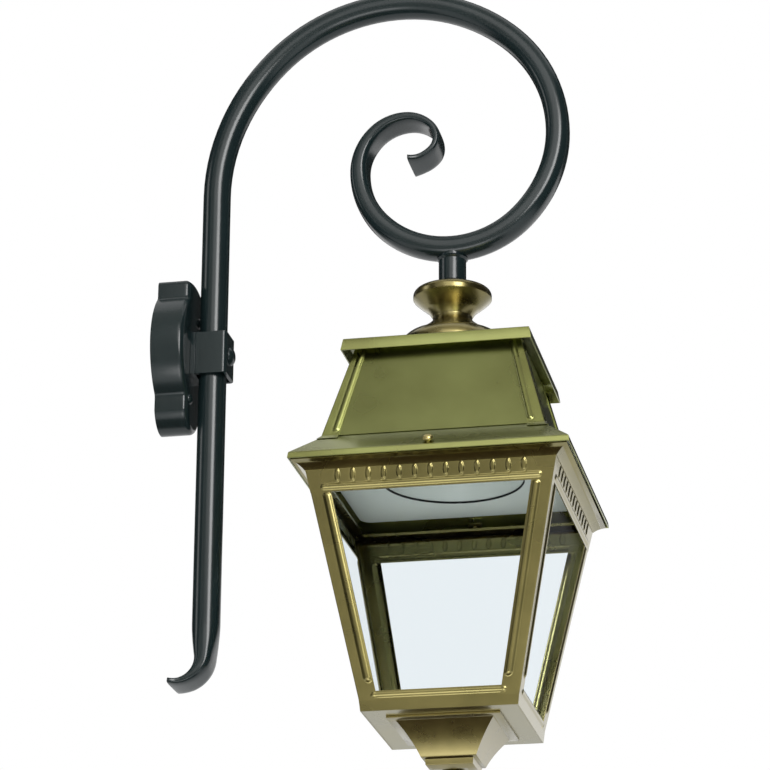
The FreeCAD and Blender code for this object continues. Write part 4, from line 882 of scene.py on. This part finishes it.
# %% Chimney strips
STRIP_WALL, STRIP_BEAD_RADIUS = 1.2, 3.8
STRIP_FOOT_RISE, STRIP_HEAD_DROP = 1.95, 12.2
STRIP_BEAD_FOOT, STRIP_BEAD_HEAD = 8, 12.8
STRIP_FLANGES = [23.4, 19, 14]
TOE_SPREAD, TOE_RISE, TOE_ROWS = 4.4, 0.1, 5

toe_half = chimney_foot_half + TOE_SPREAD
toe = roof_height(toe_half - STRIP_WALL) + TOE_RISE
strip_foot = roof_height(chimney_foot_half) + STRIP_FOOT_RISE
strip_head = DECK_HEIGHT - STRIP_HEAD_DROP
strip_bead = (strip_foot + STRIP_BEAD_FOOT, strip_head - STRIP_BEAD_HEAD)
heights = np.concatenate([np.linspace(toe, strip_foot, TOE_ROWS)[:-1],
                          rows_between(strip_foot, strip_head, strip_bead)])
chimney_rows = strip_rows(heights, [toe, strip_foot, strip_head],
                          [toe_half, chimney_foot_half, CHIMNEY_HEAD_HALF], STRIP_FLANGES)
chimney_sheet = angle_sheet(chimney_rows, strip_bead, STRIP_BEAD_RADIUS, STRIP_WALL)
corner_strips("chimney_strip_", "chimney_corner_", chimney_sheet, brass_roof)

# %% [markdown]
# ## The pendant
# Under the tray hangs a stepped drop with hollow sides, square in plan. Its profile is given
# in shares of its half width and of its height, as it was read from the photograph before
# its real size was known.

# %% Pendant
PENDANT_HALF, PENDANT_HEIGHT = 62.0, 50.0
PENDANT_FOLD = 0.5


def drop_spot(half_share, depth_share):
    """A point of the pendant's profile from shares of its half width and of its height."""
    return (half_share * PENDANT_HALF, -CAGE_DEPTH - depth_share * PENDANT_HEIGHT)


pendant_profile = [drop_spot(0.06, 0), drop_spot(1, 0), drop_spot(1, 0.045), drop_spot(0.86, 0.055)]
pendant_profile += hollow_curve(drop_spot(0.845, 0.075), drop_spot(0.635, 0.43),
                                drop_spot(0.485, 0.78), 16)
pendant_profile += [drop_spot(0.426, 0.8), drop_spot(0.416, 0.93)]
pendant_profile += [drop_spot(0.3, 0.998), drop_spot(0.06, 0.998)]
pendant = square_ring("pendant_drop", rounded(pendant_profile, PENDANT_FOLD, 3), brass_cast,
                      FOLDED_SHARP)
place_piece(pendant, ["pendant"])

# %% [markdown]
# ## Inside the cage
# The dish sits in a hole of the reflector plate. The shadow in the gap between them is painted
# as a black ring, which reads as a dark line: an angle with a lip that shows below the plate
# and a wall inside its hole. Two small pan-head screws hold the plate near its front left corner.
# All are round, so they are turned like work on a lathe.

# %% Painted shadow ring and plate screws
REFLECTOR_FOOT, DISH_RADIUS = 16.0, 79.5
SHADOW_RING_IN, SHADOW_RING_OUT, SHADOW_RING_HEIGHT, SHADOW_RING_FOLD = 0.9, 0.6, 1.6, 0.3
SCREW_HEAD = [(0, -2.2), (1.2, -2.1), (2.1, -1.4), (2.4, -0.6), (2.4, 0.1), (0, 0.1)]
SCREW_OFFSETS, SCREW_Y = (-112.0, -104.0), -118


def lathe(name, outline, centre, material, around):
    """A closed outline of radius and height turned round an upright axis."""
    outline = np.array(outline, float)
    angle = 2 * math.pi * np.arange(around) / around
    x = centre[0] + np.cos(angle)[:, None] * outline[:, 0]
    y = centre[1] + np.sin(angle)[:, None] * outline[:, 0]
    z = np.tile(centre[2] + outline[:, 1], (around, 1))
    points = np.stack([x, y, z], axis=-1)
    points = np.concatenate([points, points[:1]]).reshape(-1, 3) * MM
    return make_piece(name, points.tolist(), ring_faces(around + 1, len(outline)), material)


# The black ring is painted shadow: it stands for the shade in the gap between the dish and the
# plate.
gap_shadow_paint = coating("painted_gap_shadow", "#101111", "#161717", 0.6)
shadow_ring_outline = [(DISH_RADIUS - SHADOW_RING_IN, -SHADOW_RING_OUT), (DISH_RADIUS + SHADOW_RING_OUT, -SHADOW_RING_OUT),
                (DISH_RADIUS + SHADOW_RING_OUT, 0), (DISH_RADIUS, 0), (DISH_RADIUS, SHADOW_RING_HEIGHT),
                (DISH_RADIUS - SHADOW_RING_IN, SHADOW_RING_HEIGHT)]
shadow_ring = lathe("dish_painted_shadow_ring", rounded(shadow_ring_outline, SHADOW_RING_FOLD, 3),
             (AXIS_X, 0, EAVE_Z + REFLECTOR_FOOT), gap_shadow_paint, 128)
place_piece(shadow_ring, [])
for number, offset in enumerate(SCREW_OFFSETS):
    screw = lathe(f"plate_screw_{number + 1}", SCREW_HEAD,
                  (AXIS_X + offset, SCREW_Y, EAVE_Z + REFLECTOR_FOOT), zinc, 20)
    place_piece(screw, [])

# %% [markdown]
# ## Thumb screws
# Two brass thumb screws hold the cage. Each is turned from rod: a round head with a soft rim
# over a narrower neck, and the shank below the roof. Its axis stands square on the roof. Each
# rides on its own body, because it is turned to open the lantern.

# %% Thumb screws
KNOB_RADIUS, KNOB_FOLD = 6.0, 0.35
KNOB = [(0, -12), (2.5, -12), (2.5, 0.3), (3.8, 0.3), (3.8, 0.9), (5.1, 1.4),
        (KNOB_RADIUS, 2.8), (KNOB_RADIUS, 4.2), (5.0, 5.7), (3.4, 6.7), (1.6, 7.1), (0, 7.2)]

joints = {joint["name"]: joint for joint in frame["joints"]}
for side, sense in (("front", 1), ("back", -1)):
    joint = joints[side + "_screw_turn"]
    outline = rounded(KNOB, KNOB_FOLD, 3)
    knob = lathe(f"thumb_knob_{side}", outline, (0, 0, 0), brass_bright, 48)
    slope_turn = Matrix.Rotation(sense * math.atan(ROOF_SLOPE), 4, "X")
    knob.data.transform(Matrix.Translation(joint["pos_m"]) @ slope_turn)
    place_piece(knob, ["thumb_screw_" + side], side + "_screw")

# %% [markdown]
# ## Panes
# The four panes are flat glass with straight edges, so the construction's own meshes are
# right as they are and only get their glass.

# %% Panes
for side in SIDES:
    pane = frame["nodes"]["glass_" + side]
    pane.data.materials.clear()
    pane.data.materials.append(pane_glass)
print("panes glazed:", len(SIDES))

# %% [markdown]
# ## The floor
# The photograph has a white ground. A pale floor lies well below the lantern, where it throws
# light up into the tray and under the roof.

# %% Floor
FLOOR_Z, FLOOR_HALF = -1.75, 12.0


def flat_sheet(name, centre, right, up, material):
    """A rectangle from its centre and the two vectors to the middles of its sides."""
    centre, right, up = Vector(centre), Vector(right), Vector(up)
    corners = [centre - right - up, centre + right - up, centre + right + up, centre - right + up]
    mesh = bpy.data.meshes.new(name)
    mesh.from_pydata([tuple(corner) for corner in corners], [], [(0, 1, 2, 3)])
    mesh.materials.append(material)
    sheet = link_piece(name, mesh)
    print(f"{name}: {2 * right.length:.1f} by {2 * up.length:.1f} m")
    return sheet


floor_paint = coating("matt_floor_paint", "#ececea", "#f0f0ee", 0.8)
flat_sheet("floor", (0, 0, FLOOR_Z), (FLOOR_HALF, 0, 0), (0, FLOOR_HALF, 0), floor_paint)

# %% [markdown]
# ## The world
# The world is plain white to the camera, in mirrors and through glass, so that the ground of
# the picture is white. As a light it is a little dimmer and cooler, because the lamps give
# the shapes their form and should not be drowned.

# %% World
scene = bpy.context.scene
scene.view_settings.view_transform = "Standard"
world = bpy.data.worlds.new("studio")
scene.world = world
world.use_nodes = True
world.node_tree.nodes.clear()

ray = add(world, "ShaderNodeLightPath")
seen = add(world, "ShaderNodeMath", {0: ray.outputs["Is Camera Ray"],
                                     1: ray.outputs["Is Transmission Ray"]},
           operation="MAXIMUM")
seen = add(world, "ShaderNodeMath", {0: seen.outputs[0], 1: ray.outputs["Is Glossy Ray"]},
           operation="MAXIMUM")
plain = add(world, "ShaderNodeBackground", Color=(1, 1, 1, 1), Strength=1.0)
soft = add(world, "ShaderNodeBackground", Color=(0.95, 0.97, 1, 1), Strength=0.85)
mixed = add(world, "ShaderNodeMixShader", {0: seen.outputs[0], 1: soft.outputs[0],
                                           2: plain.outputs[0]})
add(world, "ShaderNodeOutputWorld", {"Surface": mixed.outputs[0]})
print("nodes in the world:", len(world.node_tree.nodes))

# %% [markdown]
# ## Lamps
# One strong strip stands at the right, where the photograph has its brightest edges. Three
# weaker boxes open up the front, the left and the underside.

# %% Lamps
LANTERN_CENTRE = Vector((0.25, 0, -0.03))


def soft_box(name, place, wide, tall, watts):
    """A rectangular area lamp that faces the lantern."""
    data = bpy.data.lights.new(name, "AREA")
    data.shape = "RECTANGLE"
    data.size, data.size_y = wide, tall
    data.energy = watts
    lamp = bpy.data.objects.new(name, data)
    lamp.location = place
    facing = LANTERN_CENTRE - Vector(place)
    lamp.rotation_euler = facing.to_track_quat("-Z", "Y").to_euler()
    bpy.context.scene.collection.objects.link(lamp)
    print(f"{name}: {wide} by {tall} m, {watts} W")


soft_box("strip_right", (1.75, -2.7, 0.9), 1.1, 1.8, 60)
soft_box("box_front", (0.5, -2.9, 1.6), 1.9, 1.9, 15)
soft_box("box_left", (-2.8, -0.9, 1.0), 0.8, 1.6, 8)
soft_box("box_low", (0.3, -1.9, -1.6), 1.4, 0.8, 10)

# %% [markdown]
# ## Cards
# Polished metal looks like metal because it mirrors the darker parts of a room. Cards stand
# where a photographer puts them: grey ones behind the camera and above it, a brown one under
# the lantern, and black ones far behind it and at both sides. Only mirrors see them.

# %% Cards


def card(name, centre, right, up, cloth):
    """A rectangle that shows in mirrors and nowhere else."""
    sheet = flat_sheet(name, centre, right, up, cloth)
    sheet.visible_camera = False
    sheet.visible_diffuse = False
    sheet.visible_shadow = False
    sheet.visible_transmission = False


grey_cloth = coating("grey_card_cloth", "#c6c3bb", "#cecbc4", 0.9)
black_cloth = coating("black_card_cloth", "#1c1c1b", "#222220", 0.9)
brown_cloth = coating("brown_card_cloth", "#3c2e1e", "#443524", 0.9)
card("card_behind", (0.3, -4.4, 0.8), (3.4, 0, 0), (0, 0, 3.0), grey_cloth)
card("card_above", (0.3, -2.6, 3.8), (3.4, 0, 0), (0, 1.8, 0), grey_cloth)
card("card_below", (0.3, -0.4, -1.7), (1.3, 0, 0), (0, 0.8, 0), brown_cloth)
card("card_far", (0.3, 3.0, 3.3), (3.4, 0, 0), (0, 0, 2.55), black_cloth)
card("card_left", (-3.3, -0.6, 1.4), (0, 3.6, 0), (0, 0, 3.0), black_cloth)
card("card_right", (3.9, -0.6, 1.4), (0, 3.6, 0), (0, 0, 3.0), black_cloth)
